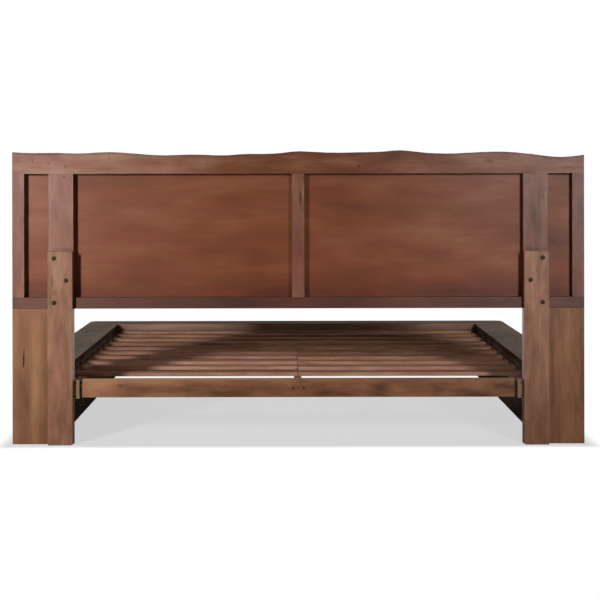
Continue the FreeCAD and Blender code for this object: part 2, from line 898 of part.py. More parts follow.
def centre_beam():
    """The beam under the slats, notched below at both ends to sit in its cradles."""
    y_span = (stretcher_front_y, foot_inner_y)
    body = block(centred(0, beam_width), y_span, (beam_z, ledger_z))
    notch = cradle_depth + fit_gap
    for notch_y in ((y_span[0], y_span[0] + notch), (y_span[1] - notch, y_span[1])):
        body = body.cut(block(centred(0, beam_width), notch_y, (beam_z, beam_z + cradle_floor)))
    pin_foot = Vec(0, centre_leg_y(), beam_z)
    depth = centre_tenon_length + fit_gap
    return body.cut(rod(centre_tenon_radius + hole_gap, depth, pin_foot, Vec(0, 0, 1)))


save_pair("ledger", ledger())
for number, near_y in enumerate(slat_places(), 1):
    save("slat_row_" + str(number).zfill(2), join(slat_row(number, near_y)))
save("centre_beam", centre_beam())
save("beam_cradle_head", cradle(stretcher_front_y, slat_top_z))
save("beam_cradle_foot", cradle(foot_inner_y - cradle_depth, ledger_z))
save("centre_leg", centre_leg())
glide_foot = Vec(0, centre_leg_y(), 0)
glide_steps = [(glide_radius - soft_edge, 0), (glide_radius, soft_edge), (glide_radius, glide_height)]
save("centre_glide", faceted(glide_steps, glide_foot, Vec(0, 0, 1), glide_sides))
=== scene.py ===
"""A rustic platform bed with a live-edge headboard: its boards, fittings and finishes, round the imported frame."""
import math

import bmesh
import bpy
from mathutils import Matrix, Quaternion, Vector
from mathutils.bvhtree import BVHTree


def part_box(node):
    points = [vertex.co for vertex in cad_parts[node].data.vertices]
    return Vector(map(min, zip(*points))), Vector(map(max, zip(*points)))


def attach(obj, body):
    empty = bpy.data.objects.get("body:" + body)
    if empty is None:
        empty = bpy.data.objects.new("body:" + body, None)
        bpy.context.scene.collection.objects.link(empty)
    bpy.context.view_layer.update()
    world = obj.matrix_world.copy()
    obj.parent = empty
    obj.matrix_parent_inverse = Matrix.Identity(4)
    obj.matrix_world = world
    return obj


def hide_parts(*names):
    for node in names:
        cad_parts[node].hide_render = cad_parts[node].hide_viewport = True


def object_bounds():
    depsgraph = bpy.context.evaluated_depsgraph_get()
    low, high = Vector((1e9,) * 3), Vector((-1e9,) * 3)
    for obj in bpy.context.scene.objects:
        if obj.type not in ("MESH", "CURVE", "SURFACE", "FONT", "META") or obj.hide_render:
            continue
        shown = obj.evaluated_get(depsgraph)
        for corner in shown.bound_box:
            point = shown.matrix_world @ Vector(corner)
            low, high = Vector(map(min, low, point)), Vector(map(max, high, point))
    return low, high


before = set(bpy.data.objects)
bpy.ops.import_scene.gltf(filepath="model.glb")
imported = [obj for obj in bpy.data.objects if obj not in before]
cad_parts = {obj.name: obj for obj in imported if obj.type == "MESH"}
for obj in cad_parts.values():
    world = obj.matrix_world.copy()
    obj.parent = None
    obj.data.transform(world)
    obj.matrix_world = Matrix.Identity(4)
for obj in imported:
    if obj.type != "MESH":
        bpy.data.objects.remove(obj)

bl_info = {
    "name": "Platform Bed",
    "version": (1, 0, 0),
    "blender": (4, 5, 0),
    "location": "View3D > Sidebar > Platform Bed",
    "description": "Builds the boards, fittings and finishes of a live-edge platform bed",
    "category": "Object",
}

MM = 0.001
CAD_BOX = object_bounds()
RIGHT_ANGLE = math.radians(90)
SMOOTH_ANGLE = math.radians(40)
SIDES = (("right", 1), ("left", -1))
# Two places nearer than this are one place, and long boards are cut this often, so that waves can bend them
NEAR = 0.1 * MM
BOARD_STEP = 0.15

# Fasteners: radii of their heads and shanks, and how far each stopped turning after the one before
BOLT_SHANK, SCREW_SHANK = 4 * MM, 2.25 * MM
PLATE_SCREW_HEAD, PLATE_SCREW_SHANK = 3.4 * MM, 1.6 * MM
STOP_TURN = 0.65

# The photograph's camera: its picture's side in pixels, how many pixels a metre takes at a metre's
# distance, the pixel that it looks straight at, its roll, and its place from the headboard's back
PICTURE_PX = 600.0
FOCAL_PX = 1466.8
SIGHT_X_PX, SIGHT_Y_PX = 290.65, 183.0
SENSOR_MM = 36.0
CAMERA_ROLL = math.radians(0.1)
CAMERA_X, CAMERA_BACK, CAMERA_UP = -0.03, 5.897, 1.049
FLOOR_SIZE = 60.0
# How much of the white studio the world gives to what isn't seen directly, and to a gloss
ROOM_LIGHT, GLOSS_SHARE = 0.11, 0.03
# Each half's softbox behind the headboard: its hand, how far out it stands and its watts, and the watts
# of the narrow lamp over the deck
HALF_LAMPS = (("left", -1, 2.95, 10.4, 0.2), ("right", 1, 2.08, 5.85, 0.09))


def linear(hex_colour):
    """An sRGB hex value as linear red, green, blue and full alpha."""
    parts = [int(hex_colour[place:place + 2], 16) / 255 for place in (1, 3, 5)]
    return [part / 12.92 if part <= 0.04045 else ((part + 0.055) / 1.055) ** 2.4 for part in parts] + [1.0]


def length(name, description, size_mm):
    """A size that a user can set, in metres, from its default in millimetres."""
    return bpy.props.FloatProperty(
        name=name, description=description, default=size_mm * MM, min=0.0, unit="LENGTH", precision=4)


def colour(name, description, hex_colour):
    """A colour that a user can set, from its default as an sRGB hex value."""
    return bpy.props.FloatVectorProperty(
        name=name, description=description, default=linear(hex_colour), size=4, min=0.0, max=1.0,
        subtype="COLOR")


WHITE, BLACK = linear("#FFFFFF"), linear("#000000")


class BedSizes(bpy.types.PropertyGroup):
    """Sizes of the details that the frame leaves open."""

    board_edge: length("Board edge", "Radius of the softened edges of a planed board", 2.0)
    frame_edge: length("Frame edge", "Radius of the edges of the headboard's frame", 1.2)
    fine_edge: length("Fine edge", "Radius of the edges of small blocks", 1.0)
    metal_edge: length("Metal edge", "Radius of the edges of bent steel plates", 0.4)
    slat_edge: length("Slat edge", "Radius of the softened edges of a slat", 2.5)
    cap_edge: length("Cap edge", "Radius of the top edges of the box rails' caps", 2.5)
    mitre_edge: length("Mitre edge", "Tiny bevel that shows a mitre as a line", 0.6)
    corner_round: length("Corner radius", "Radius of the bed's outer foot corners", 45.0)
    foot_round: length("Foot round", "Radius of a post's worn inner bottom corner", 8.0)
    plane_wave: length("Planing wave", "Depth of the waves that hand planing leaves", 0.35)
    plane_wave_length: length("Planing wave length", "Distance between the waves of hand planing", 170.0)
    plank_bevel: length("Plank bevel", "Bevel along the planks' joints in front", 2.5)
    live_step: length("Live edge step", "Distance between the points that shape the live edge", 8.0)
    bark_band: length("Bark band", "Width of the dark band that the bark left on the live edge", 9.0)
    bark_depth: length("Bark depth", "Depth of the bumps on the live edge", 3.0)
    bark_bump: length("Bark bump", "Size of the bumps on the live edge", 34.0)
    bolt_radius: length("Bolt head radius", "Radius of a post bolt's button head", 9.0)
    bolt_height: length("Bolt head height", "Height of a post bolt's button head", 5.0)
    socket_width: length("Socket width", "Width across the flats of a bolt's socket", 5.0)
    screw_head: length("Screw head", "Radius of a wood screw's head", 4.8)
    screw_recess: length("Screw recess", "Depth of a wood screw's head below the wood", 1.5)
    crack_length: length("Crack length", "Length of the drying crack in the left leg board", 72.0)


class BedColours(bpy.types.PropertyGroup):
    """Tones of the woods and metals, each as it looks in plain white light."""

    knot: colour("Knot", "Heart of a knot", "#34200F")
    bark: colour("Bark", "What the bark left on the live edge", "#4A3830")
    bronze: colour("Bronze coat", "Coat of the post bolts and hook plates", "#463822")
    tan: colour("Tan coat", "Coat of the slotted plates", "#98795F")
    zinc: colour("Zinc", "Plating of the screws and inserts", "#6E5D46")
    glide: colour("Glide", "Moulded glide under the centre leg", "#26241F")
    floor: colour("Floor", "Studio floor", "#F4F4F4")


# Each wood's dark grain, middle and light tone are three more of these colours
TONES = ("dark", "middle", "light")
WOOD_TONES = {
    "panel": ("Panel", "the headboard's planks", "#5F2E1A", "#7B4225", "#956146"),
    "rail": ("Top rail", "the headboard's top rail", "#4A2416", "#7A4327", "#A07761"),
    "stile": ("Stile", "the headboard's stiles", "#4E281A", "#7E4D3B", "#A57C69"),
    "sill": ("Bottom rail", "the headboard's bottom rail", "#3A2018", "#573326", "#704638"),
    "leg": ("Leg", "the leg boards and the stretcher", "#543118", "#85573B", "#A87A54"),
    "post": ("Post", "the posts and the brackets", "#5C3821", "#90644B", "#B68A6C"),
    "box": ("Box rail", "the box rails' caps, sides and corners", "#4A372A", "#77604B", "#967C64"),
    "slat": ("Slat", "the slats and the unseen wood", "#5C4032", "#9C735D", "#C09C88"),
    "foot": ("Foot rail", "the foot rail's boards", "#54392B", "#856554", "#AE8F80"),
    # The inside tones are darker than the box rails': painted shade on the faces inside the rails
    "inside": ("Inside", "the side rails' inner boards", "#3A2E27", "#5E5047", "#6E6057"),
}
for key, (label, where, *hex_colours) in WOOD_TONES.items():
    for tone_name, hex_value in zip(TONES, hex_colours):
        BedColours.__annotations__[f"{key}_{tone_name}"] = colour(
            f"{label}, {tone_name}", f"{tone_name.capitalize()} tone of {where}", hex_value)


def sizes():
    return bpy.context.scene.bed_sizes


def colours():
    return bpy.context.scene.bed_colours


# Materials


def add(tree, kind, inputs=None, stops=(), **settings):
    """Adds a shader node with its settings and a ramp's stops. An input is a value, a socket or a node,
    which gives its first output."""
    made = tree.nodes.new("ShaderNode" + kind)
    for name, value in settings.items():
        setattr(made, name, value)
    for socket, value in (inputs or {}).items():
        if isinstance(value, bpy.types.Node):
            value = value.outputs[0]
        if isinstance(value, bpy.types.NodeSocket):
            tree.links.new(value, made.inputs[socket])
        else:
            made.inputs[socket].default_value = value
    for number, (place, tone) in enumerate(stops):
        ramp = made.color_ramp.elements
        element = ramp[number] if number < 2 else ramp.new(place)
        element.position, element.color = place, tone
    return made


def new_material(name):
    """An empty material, its node tree and its Object coordinates."""
    material = bpy.data.materials.new(name)
    material.use_nodes = True
    tree = material.node_tree
    tree.nodes.clear()
    return material, tree, add(tree, "TexCoord").outputs["Object"]


def close_material(tree, paint, roughness, height, strength, depth_mm, **more):
    """The surface over a colour: how dull it is, and its relief of a real depth."""
    relief = add(tree, "Bump", {"Height": height, "Strength": strength, "Distance": depth_mm * MM})
    surface = add(tree, "BsdfPrincipled", {"Base Color": paint, "Roughness": roughness, "Normal": relief, **more})
    add(tree, "OutputMaterial", {0: surface})


# The order of the Object coordinates that puts the grain first, the board's width second and its
# thickness third
GRAIN_ORDERS = {"along_x": (0, 2, 1), "along_y": (1, 0, 2), "upright": (2, 0, 1), "flat_x": (0, 1, 2)}
MIDDLE_TONE = 0.55
# The tree's rings are this far apart, round a pith that stands this far off the board
RING_MM = 14
PITH_MM = (0, 31, 260)
KNOT_GRID_MM = 240


def wood(name, grain, tones, roughness=0.4, gloss=0.27, shift=(0, 0, 0), stave_mm=(900, 160), stave_share=0.15,
         patch_mm=(380, 110), patch_share=0.35, mottle_mm=(130, 26), mottle_share=0.3, streak_share=0.14,
         ring_share=0.05, knot_mm=5, knot_share=0.0, marks=(), hue_drift=0.01, barked=False):
    """Stained solid wood under satin lacquer: tone patches, mottle, streaks, faint rings, knots and marks, some of
    which are painted shade and some painted sheen.
    """
    material, tree, place = new_material(name)
    dark, middle, light = tones
    # Object coordinates in millimetres, shifted so that two boards never show the same piece of tree
    in_mm = add(tree, "Mapping", {"Vector": place, "Scale": (1 / MM, 1 / MM, 1 / MM), "Location": shift})
    axes = add(tree, "SeparateXYZ", {0: in_mm}).outputs
    straight = add(tree, "CombineXYZ", {number: axes[axis] for number, axis in enumerate(GRAIN_ORDERS[grain])})
    # The grain wanders by a few millimetres over a hand's length
    wander = add(tree, "Mapping", {"Vector": straight, "Scale": (1 / 300, 1 / 90, 1 / 90)})
    wander = add(tree, "TexNoise", {"Vector": wander, "Scale": 1, "Detail": 2}).outputs["Color"]
    wander = add(tree, "VectorMath", {0: wander, 1: (0.5, 0.5, 0.5)}, operation="SUBTRACT")
    wander = add(tree, "VectorMath", {0: wander, 1: (0, 40, 40)}, operation="MULTIPLY")
    bent = add(tree, "VectorMath", {0: straight, 1: wander}, operation="ADD")

    # Patches where the stain took more or less, the mottle in them, short streaks of 3 mm, and pores of
    # 1 mm for a near view: their lengths along and across the grain, how fine they are and how rough
    layers = []
    for long_mm, wide_mm, detail, rough in (
            (*patch_mm, 2, 0.5), (*mottle_mm, 5, 0.62), (70, 3, 4, 0.6), (26, 1.1, 2, 0.5)):
        layer = add(tree, "Mapping", {"Vector": bent, "Scale": (1 / long_mm, 1 / wide_mm, 1 / wide_mm)})
        layers.append(add(tree, "TexNoise", {"Vector": layer, "Scale": 1, "Detail": detail, "Roughness": rough}))
    patches, mottle, streaks, pores = layers
    # Glued staves, each from another plank
    staves = add(tree, "TexBrick", {
        "Vector": straight, "Scale": 1, "Color1": BLACK, "Color2": WHITE, "Mortar Size": 0,
        "Brick Width": stave_mm[0], "Row Height": stave_mm[1]}, offset=0.37)
    tone = MIDDLE_TONE
    for layer, share in ((patches, 2 * patch_share), (mottle, 2 * mottle_share), (streaks, 2 * streak_share),
                         (staves, stave_share)):
        less = add(tree, "Math", {0: layer, 1: 0.5}, operation="SUBTRACT")
        tone = add(tree, "Math", {0: less, 1: share, 2: tone}, operation="MULTIPLY_ADD")
    # Growth rings round a pith outside the board, coarser than real ones, to show from afar. They fade in
    # and out with the mottle
    pith = add(tree, "VectorMath", {0: bent, 1: (0.05, 1, 1)}, operation="MULTIPLY")
    pith = add(tree, "VectorMath", {0: pith, 1: PITH_MM}, operation="ADD")
    rings = add(tree, "VectorMath", {0: pith}, operation="LENGTH").outputs["Value"]
    rings = add(tree, "Math", {0: rings, 1: math.tau / RING_MM}, operation="MULTIPLY")
    rings = add(tree, "Math", {0: rings}, operation="SINE")
    rings = add(tree, "Math", {0: rings, 1: mottle}, operation="MULTIPLY")
    tone = add(tree, "Math", {0: rings, 1: ring_share, 2: tone}, operation="MULTIPLY_ADD")
    # Knots stand on a loose grid, and only some of the grid's places have one
    spots = add(tree, "Mapping", {
        "Vector": straight, "Scale": (0.6 / KNOT_GRID_MM, 1 / KNOT_GRID_MM, 1 / KNOT_GRID_MM)})
    spots = add(tree, "TexVoronoi", {"Vector": spots, "Scale": 1}, voronoi_dimensions="2D").outputs
    chosen = add(tree, "SeparateColor", {0: spots["Color"]})
    chosen = add(tree, "Math", {0: chosen, 1: knot_share}, operation="LESS_THAN")
    for reach, depth in ((1.0, 0.45), (3.5, 0.2)):
        heart = add(tree, "MapRange", {
            "Value": spots["Distance"], "From Max": reach * knot_mm / KNOT_GRID_MM, "To Min": depth,
            "To Max": 0}, interpolation_type="SMOOTHSTEP")
        heart = add(tree, "Math", {0: heart, 1: chosen}, operation="MULTIPLY")
        tone = add(tree, "Math", {0: tone, 1: heart}, operation="SUBTRACT")
    # Marks darken or pale the wood in an ellipse: knots and stains, and in places painted shade and painted sheen
    for across, up, half_wide, half_tall, depth in marks:
        mark = add(tree, "Mapping", {
            "Vector": place, "Location": (across * MM, 0, up * MM),
            "Scale": (half_wide * MM, 1 / MM, half_tall * MM)}, vector_type="TEXTURE")
        mark = add(tree, "VectorMath", {0: mark}, operation="LENGTH").outputs["Value"]
        mark = add(tree, "MapRange", {
            "Value": mark, "From Min": 0.1, "From Max": 1.1, "To Min": depth, "To Max": 0},
            interpolation_type="SMOOTHSTEP")
        tone = add(tree, "Math", {0: tone, 1: mark}, operation="SUBTRACT")
    pores = add(tree, "MapRange", {"Value": pores, "From Min": 0.28, "From Max": 0.42, "To Min": 1, "To Max": 0})
    tone = add(tree, "Math", {0: pores, 1: -0.1, 2: tone}, operation="MULTIPLY_ADD", use_clamp=True)
    paint = add(tree, "ValToRGB", {0: tone}, (
        (0.0, colours().knot), (1.0, light), (0.2, dark), (MIDDLE_TONE, middle)))
    # The wood itself drifts from redder to more olive over a hand's width
    drift = add(tree, "Mapping", {"Vector": bent, "Scale": (1 / 420, 1 / 45, 1 / 45), "Location": (7, 3, 5)})
    drift = add(tree, "TexNoise", {"Vector": drift, "Scale": 1, "Detail": 3})
    drift = add(tree, "MapRange", {
        "Value": drift, "From Min": 0.3, "From Max": 0.7, "To Min": 0.5 - hue_drift, "To Max": 0.5 + hue_drift})
    paint = add(tree, "HueSaturation", {"Hue": drift, "Color": paint})
    if barked:
        bark = add(tree, "Attribute", attribute_name="bark_mask").outputs["Fac"]
        paint = add(tree, "Mix", {0: bark, 6: paint.outputs[0], 7: colours().bark}, data_type="RGBA").outputs[2]
    matt = add(tree, "MapRange", {
        "Value": mottle, "From Min": 0.3, "From Max": 0.7, "To Min": roughness + 0.06,
        "To Max": roughness - 0.06})
    # The lacquer fills the pores, so the surface rises and falls by a tenth of a millimetre only
    relief = add(tree, "Math", {0: pores, 1: -0.6, 2: streaks}, operation="MULTIPLY_ADD")
    close_material(tree, paint, matt, relief, 0.5, 0.25, **{"Specular IOR Level": gloss, "IOR": 1.5})
    return material


def metal(name, tint, roughness, grit_mm, coated):
    """Steel with a coat or plating: tiny grit breaks up its gloss, and handling has dulled it in spots."""
    material, tree, place = new_material(name)
    grit = add(tree, "TexNoise", {"Vector": place, "Scale": 1 / (grit_mm * MM), "Detail": 3})
    dull = add(tree, "TexNoise", {"Vector": place, "Scale": 1 / (12 * grit_mm * MM), "Detail": 2})
    rough = add(tree, "MapRange", {
        "Value": dull, "From Min": 0.3, "From Max": 0.7, "To Min": roughness - 0.08,
        "To Max": roughness + 0.12})
    shade = [part * 0.55 for part in tint[:3]] + [1.0]
    paint = add(tree, "Mix", {0: dull, 6: shade, 7: tint}, data_type="RGBA").outputs[2]
    metallic, gloss = (0.2, 0.25) if coated else (1.0, 0.5)
    close_material(tree, paint, rough, grit, 0.3, 0.05, **{"Metallic": metallic, "Specular IOR Level": gloss})
    return material


def moulded(name, tint):
    """Moulded plastic: even and dull, with the fine grain of its mould."""
    material, tree, place = new_material(name)
    grain = add(tree, "TexNoise", {"Vector": place, "Scale": 1 / (0.8 * MM)})
    rough = add(tree, "MapRange", {"Value": grain, "To Min": 0.5, "To Max": 0.66})
    close_material(tree, tint, rough, grain, 0.25, 0.05)
    return material


MATERIALS = {}

# Knots, stains, painted shade and painted sheen that the photograph shows, as marks: place across and up, half width
# and half height in millimetres, and how much darker (less than nothing: paler) than the wood round them
# On the planks the first mark makes them darker towards the bottom, the tall dark one darkens the right end, and the
# broad pale one at the left end is painted sheen
PANEL_MARKS_AND_SHEEN = (
    (0, 585, 3000, 125, 0.27), (442, 1018, 9, 5, 0.3), (670, 876, 6, 3, 0.35), (678, 840, 7, 3, 0.35),
    (-640, 700, 230, 60, 0.1), (150, 700, 200, 50, 0.08), (-400, 880, 260, 60, -0.1),
    (430, 830, 240, 170, -0.1), (-280, 990, 120, 30, 0.1), (170, 960, 130, 26, 0.08),
    (-690, 930, 120, 80, -0.06), (-560, 955, 14, 3, 0.2), (1040, 760, 80, 400, 0.16),
    (-1040, 830, 340, 500, -0.09))
# On the top rail the three broad pale marks at the left and right ends are painted sheen in part, and paler sapwood in
# part
RAIL_MARKS_AND_SHEEN = (
    (-990, 1130, 600, 400, -0.25), (-480, 1130, 190, 300, -0.14), (-1068, 1141, 6, 9, 0.35),
    (-1003, 1129, 8, 7, 0.25), (-935, 1117, 7, 7, 0.3), (-758, 1149, 9, 5, 0.3), (245, 1117, 12, 6, 0.3),
    (330, 1108, 9, 5, 0.25), (-1010, 1168, 90, 8, 0.25), (1060, 1130, 420, 400, -0.08),
    (765, 1135, 30, 9, 0.22), (735, 1142, 30, 5, -0.14))
# On the stiles the broad pale mark at the left is painted sheen, the two thin dark ones just above the post tops are
# painted shade in the corner, and the pale line at the centre stile's edge beside its crack is a painted highlight;
# the broad dark ones make the right stiles darker
STILE_MARKS_SHADE_AND_SHEEN = (
    (927, 1060, 15, 24, 0.16), (985, 992, 5, 22, 0.2), (-942, 1075, 9, 6, 0.35), (28, 1068, 16, 10, 0.3),
    (9, 990, 5, 40, 0.4), (20, 1010, 4, 46, -0.3), (950, 880, 70, 400, 0.15), (-930, 782, 70, 12, 0.2),
    (930, 782, 70, 12, 0.2), (-920, 960, 40, 60, -0.12), (-1110, 900, 12, 30, 0.12),
    (1120, 860, 50, 500, 0.14), (-1020, 880, 200, 700, -0.11), (12, 850, 30, 400, 0.07))
# On the bottom rail the broad pale marks at both ends are painted sheen
SILL_MARKS_AND_SHEEN = (
    (-1060, 570, 230, 120, -0.3), (1060, 570, 200, 120, -0.2), (0, 560, 120, 12, -0.15),
    (560, 570, 300, 120, -0.14), (-720, 566, 12, 5, 0.3))
# On the leg boards the mark along the left board's crack deepens it with painted shade
LEG_MARKS_AND_CRACK_SHADE = (
    (-1059, 270, 26, 420, -0.24), (-1018, 270, 12, 400, 0.12), (-1103, 345, 6, 48, 0.4),
    (1020, 270, 18, 420, 0.22), (1140, 270, 12, 400, 0.12))
# The last post mark makes the posts darker towards the floor
POST_MARKS = (
    (1019, 640, 22, 30, -0.3), (985, 700, 90, 110, 0.13), (955, 700, 8, 16, 0.16), (-985, 655, 6, 30, 0.25),
    (-975, 610, 16, 14, 0.12), (-900, 300, 20, 200, -0.1), (0, 60, 3000, 110, 0.05))
# On the stretcher the pale bands along the top edge and the thin pale line along the bottom edge at the left are
# painted highlights
STRETCHER_MARKS_AND_HIGHLIGHTS = (
    (-300, 200, 130, 22, 0.16), (325, 222, 66, 60, 0.22), (705, 200, 90, 24, 0.2), (100, 205, 46, 20, 0.14),
    (-830, 225, 130, 80, -0.3), (-600, 248, 220, 20, -0.16), (560, 205, 34, 30, 0.12),
    (0, 262, 3000, 26, -0.14), (-715, 236, 16, 8, 0.25), (-500, 262, 900, 5, -0.4),
    (-830, 188, 150, 5, -0.3), (860, 220, 190, 60, 0.18), (430, 222, 330, 60, 0.1), (190, 222, 110, 60, 0.1),
    (740, 222, 120, 60, 0.08))
# Painted shade: the insides are darker along their tops, next to the deck
PAINTED_INSIDE_SHADE = ((0, 264, 3000, 40, 0.5),)

PANEL_LOOK = dict(
    gloss=0.23, stave_mm=(620, 103), stave_share=0.05, patch_mm=(300, 110), patch_share=0.36,
    mottle_mm=(190, 27), mottle_share=0.2, streak_share=0.06, ring_share=0.02, hue_drift=0.006,
    marks=PANEL_MARKS_AND_SHEEN)
CAP_LOOK = dict(roughness=0.7, gloss=0.1, stave_mm=(1900, 85))
BOARD_LOOK = dict(stave_mm=(1900, 125), patch_mm=(520, 90), mottle_mm=(230, 20), streak_share=0.2)
# Each wooden finish: its name, which way its grain runs, whose tones it has, and what sets it apart
WOODS = {
    # Planed acacia, stained red brown and sprayed with satin lacquer: a calm sheet of soft patches
    "panel": ("acacia_stained_red_brown_satin", "along_x", "panel", PANEL_LOOK),
    # The same board with its waney edge, where the bark was peeled off by hand
    "live_panel": ("acacia_stained_red_brown_live_edge", "along_x", "panel", dict(PANEL_LOOK, barked=True)),
    # Acacia of lighter sapwood and darker heart, so it changes tone along the rail, and its paler ends are in part
    # painted sheen
    "live_rail": ("acacia_stained_brown_live_edge", "along_x", "rail", dict(
        shift=(310, 40, 70), stave_share=0.0, patch_mm=(240, 70), patch_share=0.4, mottle_mm=(120, 30),
        mottle_share=0.22, streak_share=0.08, ring_share=0.03, marks=RAIL_MARKS_AND_SHEEN, barked=True)),
    # One plank stained darker than the rest: the darkest line of the headboard
    "sill": ("acacia_stained_dark_brown_satin", "along_x", "sill", dict(
        shift=(90, 700, 10), stave_share=0.0, streak_share=0.1, marks=SILL_MARKS_AND_SHEEN)),
    # Upright boards with a fuller coat of lacquer, whose haze greys their brown
    "stile": ("acacia_stained_brown_upright_satin", "upright", "stile", dict(
        gloss=0.31, shift=(55, 20, 140), stave_share=0.0, patch_mm=(160, 70), patch_share=0.26,
        mottle_mm=(110, 24), mottle_share=0.2, streak_share=0.08, ring_share=0.01, marks=STILE_MARKS_SHADE_AND_SHEEN)),
    # Glued upright staves, each a little lighter or darker than the next
    "leg_board": ("acacia_stained_light_brown_staves", "upright", "leg", dict(
        hue_drift=0.007, shift=(1000, 0, 33), stave_mm=(2000, 76), stave_share=0.12, patch_mm=(260, 60),
        mottle_mm=(120, 20), mottle_share=0.26, streak_share=0.1, ring_share=0.04, marks=LEG_MARKS_AND_CRACK_SHADE)),
    # Solid posts of pale sapwood, the lightest wood that faces the camera
    "post": ("acacia_stained_light_brown_posts", "upright", "post", dict(
        shift=(612, 300, 410), stave_share=0.0, patch_mm=(220, 60), mottle_mm=(90, 22), streak_share=0.1,
        ring_share=0.03, marks=POST_MARKS)),
    # One plank with dark clouds along it, and a painted highlight along its top edge
    "stretcher": ("acacia_stained_light_brown_stretcher", "along_x", "leg", dict(
        shift=(140, 300, 52), stave_share=0.0, patch_mm=(170, 60), patch_share=0.45, mottle_mm=(90, 22),
        streak_share=0.08, ring_share=0.03, marks=STRETCHER_MARKS_AND_HIGHLIGHTS)),
    # The caps lie flat and see little light: the same stain, worn matt by bedding
    "side_cap": ("acacia_stained_brown_matt_lengthwise", "along_y", "box", CAP_LOOK),
    "foot_cap": ("acacia_stained_brown_matt_crosswise", "flat_x", "box", CAP_LOOK),
    # Wide satin boards with long streaks, as the eye passes along them
    "side_board": ("acacia_stained_brown_satin_sides", "along_y", "box", dict(BOARD_LOOK, shift=(0, 77, 300))),
    # Inside the rails the wood is left without lacquer, and its dark tone is painted shade
    "side_inner": ("acacia_stained_dark_raw_insides", "along_y", "inside", dict(
        roughness=0.8, gloss=0.0, shift=(0, 77, 300), stave_mm=(1900, 125), marks=PAINTED_INSIDE_SHADE)),
    # The foot rail's boards look a little redder than the side ones
    "foot_board": ("acacia_stained_brown_satin_foot", "along_x", "foot", dict(BOARD_LOOK, shift=(800, 77, 30))),
    # Rounded posts whose upright grain shows that the corners aren't bent boards
    "corner": ("acacia_stained_brown_satin_corners", "upright", "box", dict(shift=(20, 400, 5))),
    # Slats are planed and oiled, so they keep more of the wood's own light tone
    "slat": ("acacia_planed_oiled_slats", "flat_x", "slat", dict(
        roughness=0.78, gloss=0.0, stave_mm=(5000, 193.6), stave_share=0.2, patch_mm=(420, 60),
        knot_share=0.1)),
    # Wood that nobody sees is bare and knotty
    "hidden": ("pine_planed_bare", "along_y", "slat", dict(
        roughness=0.62, gloss=0.3, shift=(40, 90, 7), knot_mm=7, knot_share=0.4)),
}


class BED_OT_finishes(bpy.types.Operator):
    """Finishes of the woods, metals and plastic, each named for its real material and how it was made"""

    bl_idname = "bed.finishes"
    bl_label = "Finishes"

    def execute(self, context):
        tints = colours()
        for key, (name, grain, whose, look) in WOODS.items():
            MATERIALS[key] = wood(name, grain, [getattr(tints, f"{whose}_{tone}") for tone in TONES], **look)
        # Steel with a bronze-brown coat, as on furniture bolts: dark, with a dull gleam
        MATERIALS["bronze"] = metal("steel_coated_dark_bronze", tints.bronze, roughness=0.62, grit_mm=0.9, coated=True)
        # The slotted plates' coat is tan, as the stain round them
        MATERIALS["tan"] = metal("steel_coated_tan_satin", tints.tan, roughness=0.6, grit_mm=0.9, coated=True)
        # Yellow zinc plating gives the screws a brassy glint in their pockets
        MATERIALS["zinc"] = metal("steel_plated_yellow_zinc", tints.zinc, roughness=0.34, grit_mm=0.7, coated=False)
        # Black polyethylene with a waxy dull face, under the centre leg
        MATERIALS["glide"] = moulded("polyethylene_moulded_black", tints.glide)
        return {"FINISHED"}


# Modelling by hand


def deselect_all():
    if bpy.context.object and bpy.context.object.mode != "OBJECT":
        bpy.ops.object.mode_set(mode="OBJECT")
    bpy.ops.object.select_all(action="DESELECT")


def activate(piece):
    deselect_all()
    piece.select_set(True)
    bpy.context.view_layer.objects.active = piece


def edit_all(piece):
    """Edit mode, with the whole piece selected."""
    activate(piece)
    bpy.ops.object.mode_set(mode="EDIT")
    bpy.ops.mesh.select_all(action="SELECT")


def leave_edit():
    bpy.ops.object.mode_set(mode="OBJECT")


def settled(name):
    """The active piece under its name, with its place moved into its mesh."""
    bpy.ops.object.transform_apply(location=True, rotation=True, scale=True)
    bpy.context.object.name = name
    return bpy.context.object


def start_box(name, low, high):
    """A block between two corners."""
    low, high = Vector(low), Vector(high)
    deselect_all()
    bpy.ops.mesh.primitive_cube_add(size=1.0, location=(low + high) / 2)
    bpy.context.object.scale = high - low
    return settled(name)


def start_cylinder(name, radius, depth, centre, turn=(0.0, 0.0, 0.0), sides=32):
    deselect_all()
    bpy.ops.mesh.primitive_cylinder_add(vertices=sides, radius=radius, depth=depth, location=centre, rotation=turn)
    return settled(name)


def pick(piece, kind, test):
    """Edit mode, with only the edges or faces selected that pass a test of their place."""
    edit_all(piece)
    bpy.ops.mesh.select_mode(type="EDGE" if kind == "edges" else "FACE")
    bpy.ops.mesh.select_all(action="DESELECT")
    mesh = bmesh.from_edit_mesh(piece.data)
    for part in getattr(mesh, kind):
        if test(part):
            part.select_set(True)
    bmesh.update_edit_mesh(piece.data)


def runs_along(edge, axis):
    return abs((edge.verts[1].co - edge.verts[0].co).normalized()[axis]) > 0.999


def is_sharp(edge):
    return len(edge.link_faces) == 2 and edge.calc_face_angle(0.0) > SMOOTH_ANGLE


def lies_at(part, axis, place):
    """True for an edge or a face whose corners all lie at one place along an axis."""
    return all(abs(corner.co[axis] - place) < NEAR for corner in part.verts)


def is_outer_corner(edge, far_x, far_y):
    """True for an upright edge at one of the bed's two foot corners."""
    return runs_along(edge, 2) and lies_at(edge, 1, far_y) and abs(edge.verts[0].co.x) > far_x - MM


def is_mitre(edge, inner_x, inner_y):
    """True for an edge in one of the two planes at 45 degrees through the deck's foot corners."""
    return all(abs(abs(corner.co.x) - inner_x - (corner.co.y - inner_y)) < NEAR for corner in edge.verts)


